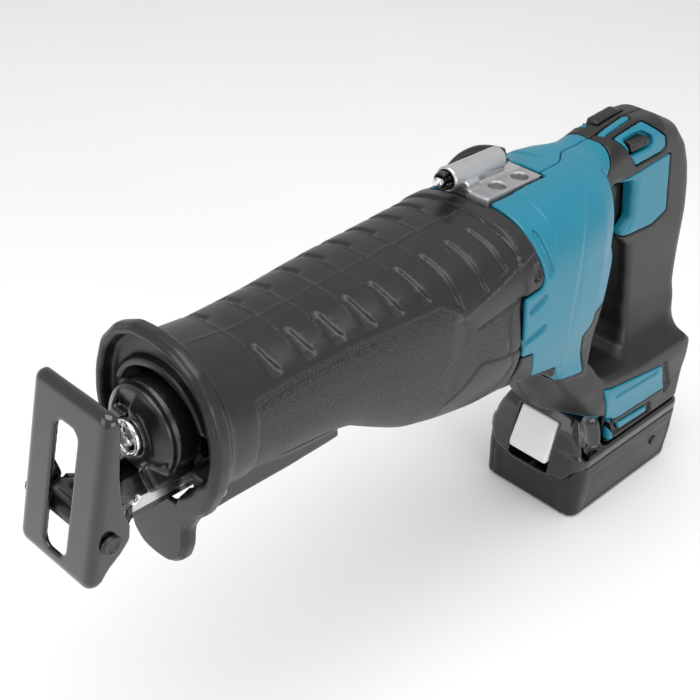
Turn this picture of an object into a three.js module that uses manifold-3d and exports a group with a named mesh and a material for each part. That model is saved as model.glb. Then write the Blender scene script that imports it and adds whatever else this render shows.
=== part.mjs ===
// Cordless reciprocating saw with a sliding battery, a rubber boot over an aluminium gear housing,
// and a crank gear that drives the blade slider.
// Millimetres. X points toward the blade, Y to the tool's left, Z up.
// The origin is the centre of the battery's underside.

import * as THREE from 'three';
import { mergeVertices } from 'three/addons/utils/BufferGeometryUtils.js';
import Module from 'manifold-3d';

const wasm = await Module();
wasm.setup();

// ---- Driving dimensions ----
const GAP = 0.3; // clearance between neighbouring pieces
const BLADE_Z = 205; // height of the blade and slider axis
const MOTOR_Z = 172; // height of the motor axis
const GEAR_X = 170; // place of the crank gear's vertical axis

const BATTERY = { length: 114, width: 75, lowerTop: 40, rimTop: 46.6, wall: 2.5, corner: 10 };
const HUMP = { rear: 30.5, front: 55, top: 72, half: 30 };
const RAIL = { rear: -50, front: 33, neckHalf: 23.4, headHalf: 27, neckTop: 52.6, top: 57 };
const BUTTON = { half: 14.6, bottom: 35.6, top: 65, travel: 4 };
const CELL = { radius: 9.1, length: 65, rows: [12, 30.5], pitch: 20, perRow: 5 };

const BASE_HALF = 36; // half width of the battery foot
const GRIP_HALF = 17.5; // half width of the handle
const SKIN = 2; // thickness of the rubber overmould
const SHELL = 2.7; // thickness of the hard clamshell

const BOOT = { rear: 146, front: 358, flangeRear: 351.5, wall: 3.4, chinHalf: 20, chinBottom: 131 };
const MOUTH = { radius: 28.6, top: 229, bottom: 168 };
const NOSE_FRONT = 332; // front face of the gear housing

const GEAR = { teeth: 36, pitchRadius: 27, face: 8, addendum: 1.2, dedendum: 1.7 };
const PINION = { teeth: 12, pitchRadius: 9 };
const CRANK_RADIUS = 16; // half of the 32 mm stroke
const PIN_TOP = BLADE_Z - 8.6; // the crank pin ends just under the slider
const SLIDER_RADIUS = 8;

const SLEEVE = { rear: 350, front: 371, radius: 22, bore: 12.4, lip: 366 };
const HOLDER = { rear: 352, step: 365.6, front: 374, radius: 12, ring: 8.6 };

const BAR = { rear: 262, eye: 402, eyeZ: 180, eyeRadius: 4.3, half: 13, bottom: 173.4, top: 185 };
const SHOE = { half: 25, thick: 3, below: 23.3, above: 60.1, offset: 7.7, tilt: 10.3 };
const SLOT = { half: 7.5, top: 45, bottom: -16 };
const LEVER = { pinX: 342, pinZ: 174, pinRadius: 2.4, inner: 21.6, outer: 24.8, rear: 268 };

const HOOK = { y: -13, z: 254, front: 160, rear: 118, radius: 6.5, wire: 2.6, reach: 62, drop: 88 };

// ---- Solids ----
function solid(geometry) {
  geometry.deleteAttribute('normal');
  geometry.deleteAttribute('uv');
  const merged = mergeVertices(geometry, 1e-4);
  const triVerts = merged.index
    ? new Uint32Array(merged.index.array)
    : Uint32Array.from({ length: merged.attributes.position.count }, (_, i) => i);
  const vertProperties = new Float32Array(merged.attributes.position.array);
  return new wasm.Manifold(new wasm.Mesh({ numProp: 3, vertProperties, triVerts }));
}

function geometryOf(body) {
  const { vertProperties, triVerts } = body.getMesh();
  const geometry = new THREE.BufferGeometry();
  geometry.setAttribute('position', new THREE.BufferAttribute(new Float32Array(vertProperties), 3));
  geometry.setIndex(new THREE.BufferAttribute(new Uint32Array(triVerts), 1));
  geometry.computeVertexNormals();
  return geometry;
}

const union = (...bodies) => bodies.reduce((sum, next) => sum.add(next));
const cut = (body, ...tools) => tools.reduce((rest, tool) => rest.subtract(tool), body);

function box(x0, x1, y0, y1, z0, z1) {
  const geometry = new THREE.BoxGeometry(x1 - x0, y1 - y0, z1 - z0);
  return solid(geometry.translate((x0 + x1) / 2, (y0 + y1) / 2, (z0 + z1) / 2));
}

// A cylinder or cone along one axis: from is the low end, to the high end.
function rod(axis, from, to, a, b, radius, sides = 24, endRadius = radius) {
  const geometry = new THREE.CylinderGeometry(endRadius, radius, to - from, sides);
  const middle = (from + to) / 2;
  if (axis === 'x') return solid(geometry.rotateZ(-Math.PI / 2).translate(middle, a, b));
  if (axis === 'y') return solid(geometry.translate(a, middle, b));
  return solid(geometry.rotateX(Math.PI / 2).translate(a, b, middle));
}

function tube(axis, from, to, a, b, outer, inner, sides = 24) {
  const bore = rod(axis, from - 1, to + 1, a, b, inner, sides);
  return cut(rod(axis, from, to, a, b, outer, sides), bore);
}

// Moves each corner of an outline inward by the same distance.
function inset(points, distance) {
  const count = points.length;
  const area = points.reduce((sum, [x, y], i) => {
    const [u, v] = points[(i + 1) % count];
    return sum + x * v - u * y;
  }, 0);
  const turn = Math.sign(area) * distance;
  return points.map((point, i) => {
    const before = points[(i + count - 1) % count];
    const after = points[(i + 1) % count];
    const a = new THREE.Vector2(point[0] - before[0], point[1] - before[1]).normalize();
    const b = new THREE.Vector2(after[0] - point[0], after[1] - point[1]).normalize();
    const scale = turn / (1 + a.dot(b));
    return [point[0] - (a.y + b.y) * scale, point[1] + (a.x + b.x) * scale];
  });
}

function shapeOf(points) {
  return new THREE.Shape(points.map(([x, y]) => new THREE.Vector2(x, y)));
}

function extrude(points, depth, bevel) {
  const round = bevel > 0;
  const outline = round ? inset(points, bevel) : points;
  const options = { depth: depth - 2 * bevel, bevelEnabled: round, bevelSize: bevel };
  Object.assign(options, { bevelThickness: bevel, bevelSegments: depth > 50 ? 2 : 1, steps: 1 });
  return new THREE.ExtrudeGeometry(shapeOf(outline), options).translate(0, 0, bevel);
}

// A side view (X, Z) outline given thickness from y0 to y1.
function slabXZ(points, y0, y1, bevel = 0) {
  return solid(extrude(points, y1 - y0, bevel).rotateX(Math.PI / 2).translate(0, y1, 0));
}

// A front view (Y, Z) outline given thickness from x0 to x1.
function slabYZ(points, x0, x1, bevel = 0) {
  const basis = new THREE.Matrix4().makeBasis(
    new THREE.Vector3(0, 1, 0),
    new THREE.Vector3(0, 0, 1),
    new THREE.Vector3(1, 0, 0),
  );
  return solid(extrude(points, x1 - x0, bevel).applyMatrix4(basis).translate(x0, 0, 0));
}

// A plan view (X, Y) outline given thickness from z0 to z1.
function slabXY(points, z0, z1, bevel = 0) {
  return solid(extrude(points, z1 - z0, bevel).translate(0, 0, z0));
}

// A rectangle with rounded corners, as an outline.
function roundedRectangle(u0, u1, v0, v1, radius, steps = 3) {
  const centres = [[u1, v1, 0], [u0, v1, 1], [u0, v0, 2], [u1, v0, 3]];
  return centres.flatMap(([u, v, quarter]) => {
    const cu = u === u1 ? u - radius : u + radius;
    const cv = v === v1 ? v - radius : v + radius;
    return Array.from({ length: steps + 1 }, (_, i) => {
      const angle = ((quarter + i / steps) * Math.PI) / 2;
      return [cu + radius * Math.cos(angle), cv + radius * Math.sin(angle)];
    });
  });
}

// A closed skin through rings with equal point counts, capped at both ends.
function skin(rings, capStart, capEnd) {
  const count = rings[0].length;
  const positions = rings.flat().flat();
  const startCentre = rings.length * count;
  positions.push(...capStart, ...capEnd);
  const index = [];
  for (let r = 0; r + 1 < rings.length; r++) {
    for (let i = 0; i < count; i++) {
      const j = (i + 1) % count;
      const [a, b, c, d] = [r * count + i, r * count + j, (r + 1) * count + i, (r + 1) * count + j];
      index.push(a, b, c, b, d, c);
    }
  }
  const last = (rings.length - 1) * count;
  for (let i = 0; i < count; i++) {
    const j = (i + 1) % count;
    index.push(startCentre, j, i);
    index.push(startCentre + 1, last + i, last + j);
  }
  const geometry = new THREE.BufferGeometry();
  geometry.setAttribute('position', new THREE.Float32BufferAttribute(positions, 3));
  geometry.setIndex(index);
  return geometry;
}

// A rounded section across X: widest at mid, with its own rise above and below it.
function sectionRing({ x, top, bottom, half, mid, power }, wall, sides) {
  return Array.from({ length: sides }, (_, i) => {
    const angle = ((i + 0.5) / sides) * 2 * Math.PI;
    const [c, s] = [Math.cos(angle), Math.sin(angle)];
    const rise = s > 0 ? top - wall - mid : mid - bottom - wall;
    const y = Math.sign(c) * Math.abs(c) ** (2 / power) * (half - wall);
    const z = mid + Math.sign(s) * Math.abs(s) ** (2 / power) * rise;
    return [x, y, z];
  });
}

function loft(sections, wall = 0, sides = 28) {
  const rings = sections.map((section) => sectionRing(section, wall, sides));
  const first = sections[0];
  const last = sections[sections.length - 1];
  return solid(skin(rings, [first.x, 0, first.mid], [last.x, 0, last.mid]));
}

// Straight bevel gear about +Z with its pitch apex at the origin.
function bevelGear({ teeth, pitchRadius, mateRadius, phase, backDepth, frontDepth }) {
  const cone = Math.atan2(pitchRadius, mateRadius);
  const small = 1 - GEAR.face / Math.hypot(pitchRadius, mateRadius);
  const at = (lift, scale) => [
    (pitchRadius + lift * Math.cos(cone)) * scale,
    (mateRadius - lift * Math.sin(cone)) * scale,
  ];
  const ringAt = (scale) => {
    const ring = [];
    for (let tooth = 0; tooth < teeth; tooth++) {
      const corners = [[-0.29, -GEAR.dedendum], [-0.14, GEAR.addendum]];
      corners.push([0.14, GEAR.addendum], [0.29, -GEAR.dedendum]);
      for (const [share, lift] of corners) {
        const angle = phase + ((tooth + share) / teeth) * 2 * Math.PI;
        const [r, z] = at(lift, scale);
        ring.push([r * Math.cos(angle), r * Math.sin(angle), z]);
      }
    }
    return ring;
  };
  const rings = [ringAt(small), ringAt(1)];
  return solid(skin(rings, [0, 0, mateRadius * small + frontDepth], [0, 0, mateRadius + backDepth]));
}

// ---- Housing forms shared by several pieces ----
const section = (x, top, bottom, half, mid, power) => ({ x, top, bottom, half, mid, power });

const BOOT_SECTIONS = [
  section(BOOT.rear, 244, 133, 46, 208, 2.7),
  section(175, 243, 134, 45.5, 206, 2.7),
  section(200, 241.5, 138, 45, 206, 2.6),
  section(225, 240.5, 145, 44, 206, 2.6),
  section(245, 240, 156, 42.5, 207, 2.6),
  section(262, 239.5, 165, 41, 208, 2.5),
  section(280, 236.5, 168, 39.5, 208, 2.5),
  section(315, 235.5, 169, 38, 208, 2.4),
  section(345, 240, 168, 37.5, 208, 2.3),
];
const MOTOR_SECTIONS = [
  section(59, 246, 150, 20, 200, 2.5),
  section(66, 248.5, 140, 31.5, 198, 2.7),
  section(75, 249.3, 134, 38, 197, 2.8),
  section(86, 249, 130, 42, 197, 2.8),
  section(105, 248, 128, 44.5, 198, 2.8),
  section(BOOT.rear - GAP, 246.5, 133, 45.5, 203, 2.7),
];
const HANDLE_OUTLINE = [
  [100, 245], [57, 250.5], [40, 254], [20, 256.5], [2, 255.5], [-17, 246], [-31, 232], [-40, 217],
  [-46, 202], [-50, 185], [-53.5, 152], [-55.5, 128], [-57, 104], [-57, 80], [70, 80], [90, 110],
  [100, 140],
];
const FINGER_OUTLINE = [
  [12, 103], [8, 114], [8, 135], [12.5, 158], [19, 177], [29, 184.5], [38, 219], [46, 226],
  [54, 222], [57, 205], [58, 170], [56, 130], [51, 108], [43, 100], [20, 98],
];
// Plan of what is trimmed from each front corner of the foot, above the battery.
const FOOT_CORNER = [[46, 38], [54, 23], [61, 8], [74, 8], [74, 38]];
const FOOT_TRIM = { from: 74, to: 150, slope: 0.95 };
const FOOT_OUTLINE = [
  [-57, 48], [27.5, 48], [28.5, 74.2], [59, 75.4], [65, 82], [84, 106], [98, 127], [110, 142],
  [84, 148], [62, 122], [46, 106], [10, 99], [-48, 99], [-57, 90],
];
const RAIL_CHANNEL = [RAIL.rear - 1.5, 90];

function insetSlab(outline, half, depth, edge) {
  return slabXZ(inset(outline, depth), depth - half, half - depth, Math.max(1, edge - depth));
}

function handleForm(depth) {
  const width = GRIP_HALF + 1;
  const fingerRoom = slabXZ(inset(FINGER_OUTLINE, -depth), -width, width);
  return cut(insetSlab(HANDLE_OUTLINE, GRIP_HALF, depth, 4), fingerRoom);
}

// The trimmed corners lean forward as they rise, so the foot flares up to the motor housing.
function footForm(depth) {
  const { from, to, slope } = FOOT_TRIM;
  const lean = [1, 0, 0, 0, 0, 1, 0, 0, slope, 0, 1, 0, -slope * from, 0, 0, 1];
  const corner = slabXY(inset(FOOT_CORNER, -depth), from - depth, to).transform(lean);
  return cut(insetSlab(FOOT_OUTLINE, BASE_HALF, depth, 5), corner, corner.mirror([0, 1, 0]));
}

const leftHalf = box(-200, 500, GAP / 2, 100, -10, 300);
const rightHalf = box(-200, 500, -100, -GAP / 2, -10, 300);

// ---- Openings through the clamshell and its overmould ----
function triggerOpening(side) {
  return box(-2, 45, -9.4 - side, 9.4 + side, 181, 221);
}

function lockButtonOpening(clear) {
  return rod('y', -30, 30, 27, 243, 6.6 + clear, 20);
}

function modeButtonOpening(clear) {
  return box(15.6 - clear, 40.4 + clear, -12.9 - clear, -4.1 + clear, 249.4, 262);
}

function batteryChannel() {
  const [rear, front] = RAIL_CHANNEL;
  return union(
    box(rear, front, -RAIL.headHalf - 1, RAIL.headHalf + 1, 52.2, 66),
    box(rear, front, -RAIL.neckHalf - 0.8, RAIL.neckHalf + 0.8, 40, 53),
  );
}

// Clamshell screws go in from the right; their ends stop in blind bosses in the left half.
const SCREWS = [[-35, 206], [-40, 120], [70, 112], [66, 228], [38, 88]];
const SCREW = { headRadius: 3.6, shankRadius: 1.9, headDepth: 3, seat: -12, tip: 8, boss: 5.6 };

function counterbores(clear) {
  return SCREWS.map(([x, z]) => rod('y', -60, SCREW.seat, x, z, SCREW.headRadius + clear, 12));
}

function pilotHoles() {
  return SCREWS.map(([x, z]) => rod('y', -60, SCREW.tip + 1, x, z, SCREW.shankRadius + 0.4, 10));
}

// ---- Clamshell, overmould and screws ----
function clamshell() {
  const wall = SKIN + GAP;
  const outside = union(loft(MOTOR_SECTIONS), handleForm(wall), footForm(wall));
  const inner = wall + SHELL;
  const motorRoom = loft(
    MOTOR_SECTIONS.map((s, i) => (i === MOTOR_SECTIONS.length - 1 ? { ...s, x: s.x + 1 } : s)),
    SHELL,
  );
  const hollow = union(motorRoom, handleForm(inner), footForm(inner));
  const mouth = box(128, 160, -50, 50, 100, 260).intersect(loft(MOTOR_SECTIONS, SHELL));
  const bosses = SCREWS.map(([x, z]) => rod('y', -40, 40, x, z, SCREW.boss, 12));
  const plateWindow = box(103.5, 150, -26, 9.5, 236, 260);
  return cut(
    union(cut(outside, hollow, mouth), ...bosses.map((boss) => boss.intersect(outside))),
    triggerOpening(0),
    lockButtonOpening(0.4),
    modeButtonOpening(0.4),
    batteryChannel(),
    plateWindow,
    ...pilotHoles(),
    ...counterbores(0.4),
  );
}

function overmould() {
  const outside = union(handleForm(0), footForm(0));
  const inside = union(handleForm(SKIN), footForm(SKIN));
  const motorKeep = loft(
    MOTOR_SECTIONS.map((s) => ({ ...s, top: s.top + 8, bottom: s.bottom - GAP, half: s.half + GAP })),
  );
  return cut(
    outside,
    inside,
    motorKeep,
    box(56, 160, -60, 60, 200, 300),
    triggerOpening(1.5),
    lockButtonOpening(0.8),
    modeButtonOpening(0.8),
    batteryChannel(),
    box(-100, 100, -60, 60, 40, 50.5),
    ...counterbores(0.8),
  );
}

function screw(x, z) {
  const { headRadius, shankRadius, headDepth, seat, tip } = SCREW;
  return union(
    rod('y', seat - GAP - headDepth, seat - GAP, x, z, headRadius, 12),
    rod('y', seat - GAP - 0.1, tip, x, z, shankRadius, 10),
  );
}

// ---- Gear housing, boot and motor ----
const HOUSING_SECTIONS = [
  section(130, 238, 147, 39, 203, 2.6),
  section(175, 238, 143.5, 40, 204, 2.6),
  section(200, 237, 145.5, 39.5, 204, 2.6),
  section(225, 236, 150, 38.5, 204, 2.5),
  section(245, 235.5, 162, 37, 205, 2.5),
  section(262, 234, 172, 35, 206, 2.4),
  section(NOSE_FRONT, 230, 181, 27, 206, 2.3),
];
const NOSE = { rear: 258, half: 20.5 }; // the square nose that guides the shoe bar

function gearHousing() {
  const { rear: noseRear, half: noseHalf } = NOSE;
  const outside = union(
    loft(HOUSING_SECTIONS),
    box(noseRear, NOSE_FRONT, -noseHalf, noseHalf, 170.4, 195),
    box(NOSE_FRONT - 6, LEVER.pinX + 7, 14.4, noseHalf, 170.4, 181.8),
    box(NOSE_FRONT - 6, LEVER.pinX + 7, -noseHalf, -14.4, 170.4, 181.8),
  );
  const room = loft(HOUSING_SECTIONS.slice(0, 5).map((s, i) => (i ? s : { ...s, x: s.x - 1 })), 4);
  const clear = BAR.half + 0.5;
  const barRoom = box(noseRear - 20, 400, -clear, clear, BAR.bottom - 0.5, BAR.top + 0.5);
  const pin = rod('y', -60, 60, LEVER.pinX, LEVER.pinZ, LEVER.pinRadius + GAP, 12);
  return cut(
    outside,
    cut(room, box(GEAR_X - 16, GEAR_X + 16, -16, 16, 136, 160)),
    rod('z', 147, 170, GEAR_X, 0, 11.3, 24),
    rod('z', 147, 180, GEAR_X, 0, 9, 20),
    rod('x', 200, NOSE_FRONT - 14, 0, BLADE_Z, 10.4, 24),
    rod('x', NOSE_FRONT - 15, 400, 0, BLADE_Z, 12.3, 24),
    barRoom,
    pin,
  );
}

function boot() {
  const { rear, front, flangeRear, wall, chinHalf, chinBottom } = BOOT;
  const flange = [flangeRear, front].map((x) => section(x, 250.5, 160, 41, 207, 2.2));
  const chin = roundedRectangle(-chinHalf, chinHalf, chinBottom, 190, 14, 4);
  const outside = union(loft(BOOT_SECTIONS), box(340, 346, -30, 30, 190, 230), loft(flange),
    loft([section(344, 240, 168, 37.5, 208, 2.3), section(flangeRear + 1, 240, 168, 37.5, 208, 2.3)]),
    slabYZ(chin, flangeRear, front));
  const cavity = loft(BOOT_SECTIONS.map((s, i) => (i ? s : { ...s, x: s.x - 1 })), wall);
  const mouth = loft([
    section(340, MOUTH.top + 1, MOUTH.bottom - 2, MOUTH.radius + 1, BLADE_Z, 2.2),
    section(front + 1, MOUTH.top, MOUTH.bottom, MOUTH.radius, BLADE_Z, 2.2),
  ]);
  return cut(
    outside,
    cavity,
    mouth,
    box(NOSE.rear - 2, flangeRear - 0.2, -26, 26, 100, 184),
    box(350, 361, -16, 16, 171, 195),
    box(130, 153.5, -27, 10.2, 236, 260),
  );
}

function motorPieces() {
  const shaft = union(
    rod('x', 70, 144, 0, MOTOR_Z, 4, 16),
    bevelGear({
      teeth: PINION.teeth,
      pitchRadius: PINION.pitchRadius,
      mateRadius: GEAR.pitchRadius,
      phase: 0,
      backDepth: 2,
      frontDepth: 0,
    }).rotate([0, -90, 0]).translate([GEAR_X, 0, MOTOR_Z]),
  );
  const blades = Array.from({ length: 9 }, (_, i) =>
    box(118.5, 125, 7, 23, -0.9, 0.9).rotate([i * 40, 0, 0]).translate([0, 0, MOTOR_Z]));
  const fanBack = tube('x', 117.5, 119.5, 0, MOTOR_Z, 23.5, 4.3, 32);
  const fanHub = tube('x', 118, 126, 0, MOTOR_Z, 8, 4.3, 20);
  const fan = cut(union(fanBack, fanHub, ...blades), rod('x', 100, 140, 0, MOTOR_Z, 4.3, 16));
  const slots = Array.from({ length: 6 }, (_, i) =>
    box(80, 120, 14, 21, -3, 3).rotate([i * 60, 0, 0]).translate([0, 0, MOTOR_Z]));
  return {
    rotor_shaft: shaft,
    rotor_core: tube('x', 85, 115, 0, MOTOR_Z, 14.4, 4.3, 28),
    cooling_fan: fan,
    stator: cut(tube('x', 84, 116, 0, MOTOR_Z, 26, 15, 32), ...slots),
    sensor_board: tube('x', 79.8, 81.8, 0, MOTOR_Z, 24, 9, 24),
    rear_motor_bearing: tube('x', 72, 78, 0, MOTOR_Z, 9.5, 4.3, 20),
    front_motor_bearing: tube('x', 130.5, 137, 0, MOTOR_Z, 11, 4.3, 20),
  };
}

function driveGear() {
  const gear = bevelGear({
    teeth: GEAR.teeth,
    pitchRadius: GEAR.pitchRadius,
    mateRadius: PINION.pitchRadius,
    phase: Math.PI / GEAR.teeth,
    backDepth: 6,
    frontDepth: 2.5,
  }).translate([GEAR_X, 0, MOTOR_Z]);
  return union(
    gear,
    rod('z', MOTOR_Z + 11, MOTOR_Z + 15, GEAR_X, 0, 21, 28),
    rod('z', MOTOR_Z + 10, PIN_TOP, GEAR_X, CRANK_RADIUS, 4.5, 16),
    rod('z', 149, MOTOR_Z + 10, GEAR_X, 0, 6, 20),
  );
}

// ---- Slider, clamp, shoe and lever ----
function slider() {
  const shaft = rod('x', 176, 352, 0, BLADE_Z, SLIDER_RADIUS, 24);
  const yoke = box(GEAR_X - 9, GEAR_X + 9, -24, 24, BLADE_Z - 6, BLADE_Z + 6);
  const pinSlot = box(GEAR_X - 4.9, GEAR_X + 4.9, -21, 21, BLADE_Z - 10, BLADE_Z + 2);
  return union(cut(yoke, pinSlot), shaft, rod('x', 350, HOLDER.front - 4, 0, BLADE_Z, 5, 16));
}

function bladeHolder() {
  const { rear, step, front, radius, ring } = HOLDER;
  return cut(
    union(
      rod('x', rear + GAP, step, 0, BLADE_Z, radius, 28),
      rod('x', step - 1, front, 0, BLADE_Z, ring, 28),
    ),
    rod('x', rear - 1, front - 4 + GAP, 0, BLADE_Z, 5 + GAP, 16),
    box(front - 4, front + 1, -1.2, 1.2, BLADE_Z - 7, BLADE_Z + 7),
    rod('x', front - 2, front + 1, 0, BLADE_Z, 6.2, 20),
  );
}

function clampSleeve() {
  const { rear, front, radius, bore, lip } = SLEEVE;
  const lever = box(rear + 2, front + 4, radius - 4, 26, -3.8, 3.8)
    .rotate([-45, 0, 0]).translate([0, 0, BLADE_Z]);
  return cut(
    union(
      rod('x', rear, lip, 0, BLADE_Z, radius, 36),
      rod('x', lip, front, 0, BLADE_Z, radius, 36, radius - 5.5),
      lever,
    ),
    rod('x', rear - 1, lip, 0, BLADE_Z, bore, 28),
    rod('x', lip - 1, front + 5, 0, BLADE_Z, HOLDER.ring + GAP, 28),
  );
}

function shoeBar() {
  const { rear, eye, eyeZ, eyeRadius, half, bottom, top } = BAR;
  const wide = 21.6;
  const body = union(
    box(rear, 384, -half, half, bottom, top),
    slabXY([[381, half], [391, wide], [eye - 3, wide], [eye - 3, -wide], [391, -wide], [381, -half]],
      bottom, eyeZ + 1.8),
    rod('y', -wide, wide, eye, eyeZ, eyeRadius, 20),
    box(eye - 5, eye, -wide, wide, eyeZ - eyeRadius, eyeZ + 1.8),
  );
  const notches = [0, 1, 2, 3].map((i) => box(296 + i * 10, 299 + i * 10, -5, 5, 170, bottom + 1.5));
  return cut(
    body,
    box(298, 392, -10.8, 10.8, top - 3, top + 1),
    rod('y', -40, 40, eye, eyeZ, 2.6, 16),
    ...notches,
  );
}

function shoeRivet() {
  const { eye, eyeZ } = BAR;
  return union(
    rod('y', -25.6, 25.6, eye, eyeZ, 2.3, 16),
    rod('y', 25.4, 27.2, eye, eyeZ, 4.6, 20),
    rod('y', -27.2, -25.4, eye, eyeZ, 4.6, 20),
  );
}

// The plate is laid out upright around the rivet, then leaned back.
function shoePlate() {
  const { half, thick, below, above, offset, tilt } = SHOE;
  const plate = slabYZ(roundedRectangle(-half, half, -below, above, 5), offset - thick, offset);
  const slot = slabYZ(roundedRectangle(-SLOT.half, SLOT.half, SLOT.bottom, SLOT.top, 5), 0, 20);
  const web = [
    [6, above - 5], [-1, above - 8], [-1.5, 30], [-5, 14], [-10.5, 4], [-10.5, -2], [-6, -8], [1, -14],
    [6, 5 - below],
  ];
  const webs = [half - 2.6, -half].map((y) => slabXZ(web, y, y + 2.6));
  return cut(union(plate, ...webs), slot, rod('y', -40, 40, 0, 0, 2.6, 16))
    .rotate([0, -tilt, 0])
    .translate([BAR.eye, 0, BAR.eyeZ]);
}

function shoeLockLever() {
  const { pinX, pinZ, pinRadius, inner, outer, rear } = LEVER;
  const flange = [
    [rear, 168], [rear, 174.5], [300, 177], [330, 181], [pinX + 4, 181.5], [pinX + 7, 178],
    [pinX + 7, 169], [pinX + 2, 166], [pinX - 6, 166.6],
  ];
  return cut(
    union(
      slabXZ(flange, inner, outer),
      slabXZ(flange, -outer, -inner),
      box(rear, pinX - 8, -inner - 0.5, inner + 0.5, 166.6, 169.8),
    ),
    rod('y', -40, 40, pinX, pinZ, pinRadius + GAP, 16),
  );
}

// ---- Hook on top ----
const TUBE_Y = HOOK.y;

function hookBracket() {
  const plate = union(
    box(105, 151.5, -25, 8, 241, 248),
    box(132, 150, -22, 6, 238.4, 242),
    box(HOOK.rear + 2, 150, TUBE_Y - 5.3, TUBE_Y + 5.3, 246, HOOK.z - 1.2),
    rod('x', HOOK.rear, HOOK.front, TUBE_Y, HOOK.z, HOOK.radius, 24),
  );
  return cut(
    plate,
    rod('x', HOOK.rear - 1, HOOK.front + 1, TUBE_Y, HOOK.z, HOOK.wire + GAP, 14),
    rod('z', 244, 250, 134, 0.4, 4.4, 20),
    rod('z', 244, 250, 116, 0.9, 4.4, 20),
  );
}

function hookWire() {
  const { wire, z, front, rear, drop, reach } = HOOK;
  const y = TUBE_Y;
  const bottom = z - drop;
  const side = y - 46;
  const route = [
    [front + 4, y, z], [front - 4, y, z], [rear + 8, y, z], [rear + 1, y, z], [rear - 3, y, z],
    [rear - 7, y - 3, z - 0.5],
    [rear - 8, y - 11, z - 1.5], [rear - 7, side + 23, z - 7], [rear - 6, side + 12, z - 19],
    [rear - 5, side + 4, z - 38], [rear - 4, side - 1, z - 56],
    [rear + 2, side - 1, bottom + 4], [rear + 14, side - 1, bottom - 3],
    [rear + reach, side - 1, bottom - 3],
  ].map((p) => new THREE.Vector3(...p));
  const path = new THREE.CatmullRomCurve3(route, false, 'centripetal');
  const round = new THREE.Shape().absarc(0, 0, wire, 0, 2 * Math.PI);
  const sweep = { steps: 40, curveSegments: 3, extrudePath: path };
  return solid(new THREE.ExtrudeGeometry(round, sweep));
}

// ---- Controls in the handle ----
const TRIGGER_OUTLINE = [
  [6, 184], [24, 186], [31, 190], [33.5, 198], [33.5, 207], [31, 214], [34, 219.5], [6, 219.5],
];

function trigger() {
  return slabXZ(TRIGGER_OUTLINE, -8.6, 8.6, 2);
}

function batteryPlan(depth) {
  const { length, width, corner } = BATTERY;
  const [u, v] = [length / 2 - depth, width / 2 - depth];
  return roundedRectangle(-u, u, -v, v, corner - depth);
}

function batteryLower() {
  const { length, lowerTop, wall } = BATTERY;
  return cut(
    slabXY(batteryPlan(0), 0, lowerTop, 2),
    slabXY(batteryPlan(wall), wall, lowerTop + 1),
    box(length / 2 - 10, length, -BUTTON.half - 0.6, BUTTON.half + 0.6, 31, lowerTop + 1),
    rod('y', 20, 50, -30, 22, 3.1, 14),
  );
}

function batteryUpper() {
  const { length, lowerTop, rimTop, wall } = BATTERY;
  const { rear, front, neckHalf, headHalf, neckTop, top } = RAIL;
  const hump = [
    [HUMP.rear, 44], [HUMP.rear, 69], [HUMP.rear + 3, HUMP.top], [HUMP.front - 4, HUMP.top],
    [HUMP.front, HUMP.top - 3], [57, lowerTop + 4],
  ];
  return cut(
    union(
      slabXY(batteryPlan(0), lowerTop + GAP, rimTop),
      box(rear, front, -neckHalf, neckHalf, rimTop - 1, neckTop + 0.5),
      box(rear, front, -headHalf, headHalf, neckTop, top),
      slabXZ(hump, -HUMP.half, HUMP.half, 3),
    ),
    box(-47, 51, -35, 35, lowerTop, rimTop - wall),
    box(34, 49.5, -25, 25, rimTop - 3, HUMP.top - 4),
    box(49, length, -BUTTON.half - 0.6, BUTTON.half + 0.6, 30, BUTTON.top + 0.6),
  );
}

function batteryButton() {
  const { half, bottom, top } = BUTTON;
  const face = [
    [50.6, bottom], [50.6, top], [54.5, top], [59.5, bottom + 14], [63.3, bottom + 5],
    [63.3, bottom],
  ];
  return slabXZ(face, -half, half, 1.2);
}

// A coil of round wire about a vertical axis, closed by caps at its two ends.
function latchSpring(x, y, z0, z1) {
  const [turns, perTurn, coil, wire, sides] = [3, 16, 2.6, 0.35, 8];
  const steps = turns * perTurn;
  const centre = (step) => {
    const angle = (step / perTurn) * 2 * Math.PI;
    const rise = z0 + wire + ((z1 - z0 - 2 * wire) * step) / steps;
    return { angle, rise, at: [x + coil * Math.cos(angle), y + coil * Math.sin(angle), rise] };
  };
  const rings = Array.from({ length: steps + 1 }, (_, step) => {
    const { angle, rise } = centre(step);
    return Array.from({ length: sides }, (_, i) => {
      const turn = (i / sides) * 2 * Math.PI;
      const reach = coil + wire * Math.cos(turn);
      return [x + reach * Math.cos(angle), y + reach * Math.sin(angle), rise - wire * Math.sin(turn)];
    });
  });
  return solid(skin(rings, centre(0).at, centre(steps).at));
}

// ---- Assembly ----
const FINISH = {
  teal: [0x22879f, 0.45, 0],
  rubber: [0x1c1c1e, 0.7, 0],
  overmould: [0x232426, 0.75, 0],
  aluminium: [0xb9bcbe, 0.4, 0.9],
  steel: [0x9a9da0, 0.35, 0.9],
  chrome: [0xd9dbde, 0.15, 1],
  zinc: [0xc2c5c6, 0.3, 0.9],
  gloss_black: [0x0d0e10, 0.2, 0.1],
  charcoal: [0x2a2c2f, 0.55, 0],
  white: [0xe9e9e6, 0.4, 0],
  copper: [0xa8663a, 0.4, 0.8],
  bronze: [0x9c7a45, 0.45, 0.8],
  board: [0x23513a, 0.6, 0],
  cell: [0x4a7f6a, 0.5, 0],
};

const saw = new THREE.Group();

function place(name, body, finish) {
  const [color, roughness, metalness] = FINISH[finish];
  const material = new THREE.MeshStandardMaterial({ color, roughness, metalness });
  const mesh = new THREE.Mesh(geometryOf(body), material);
  mesh.name = name;
  saw.add(mesh);
}

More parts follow.
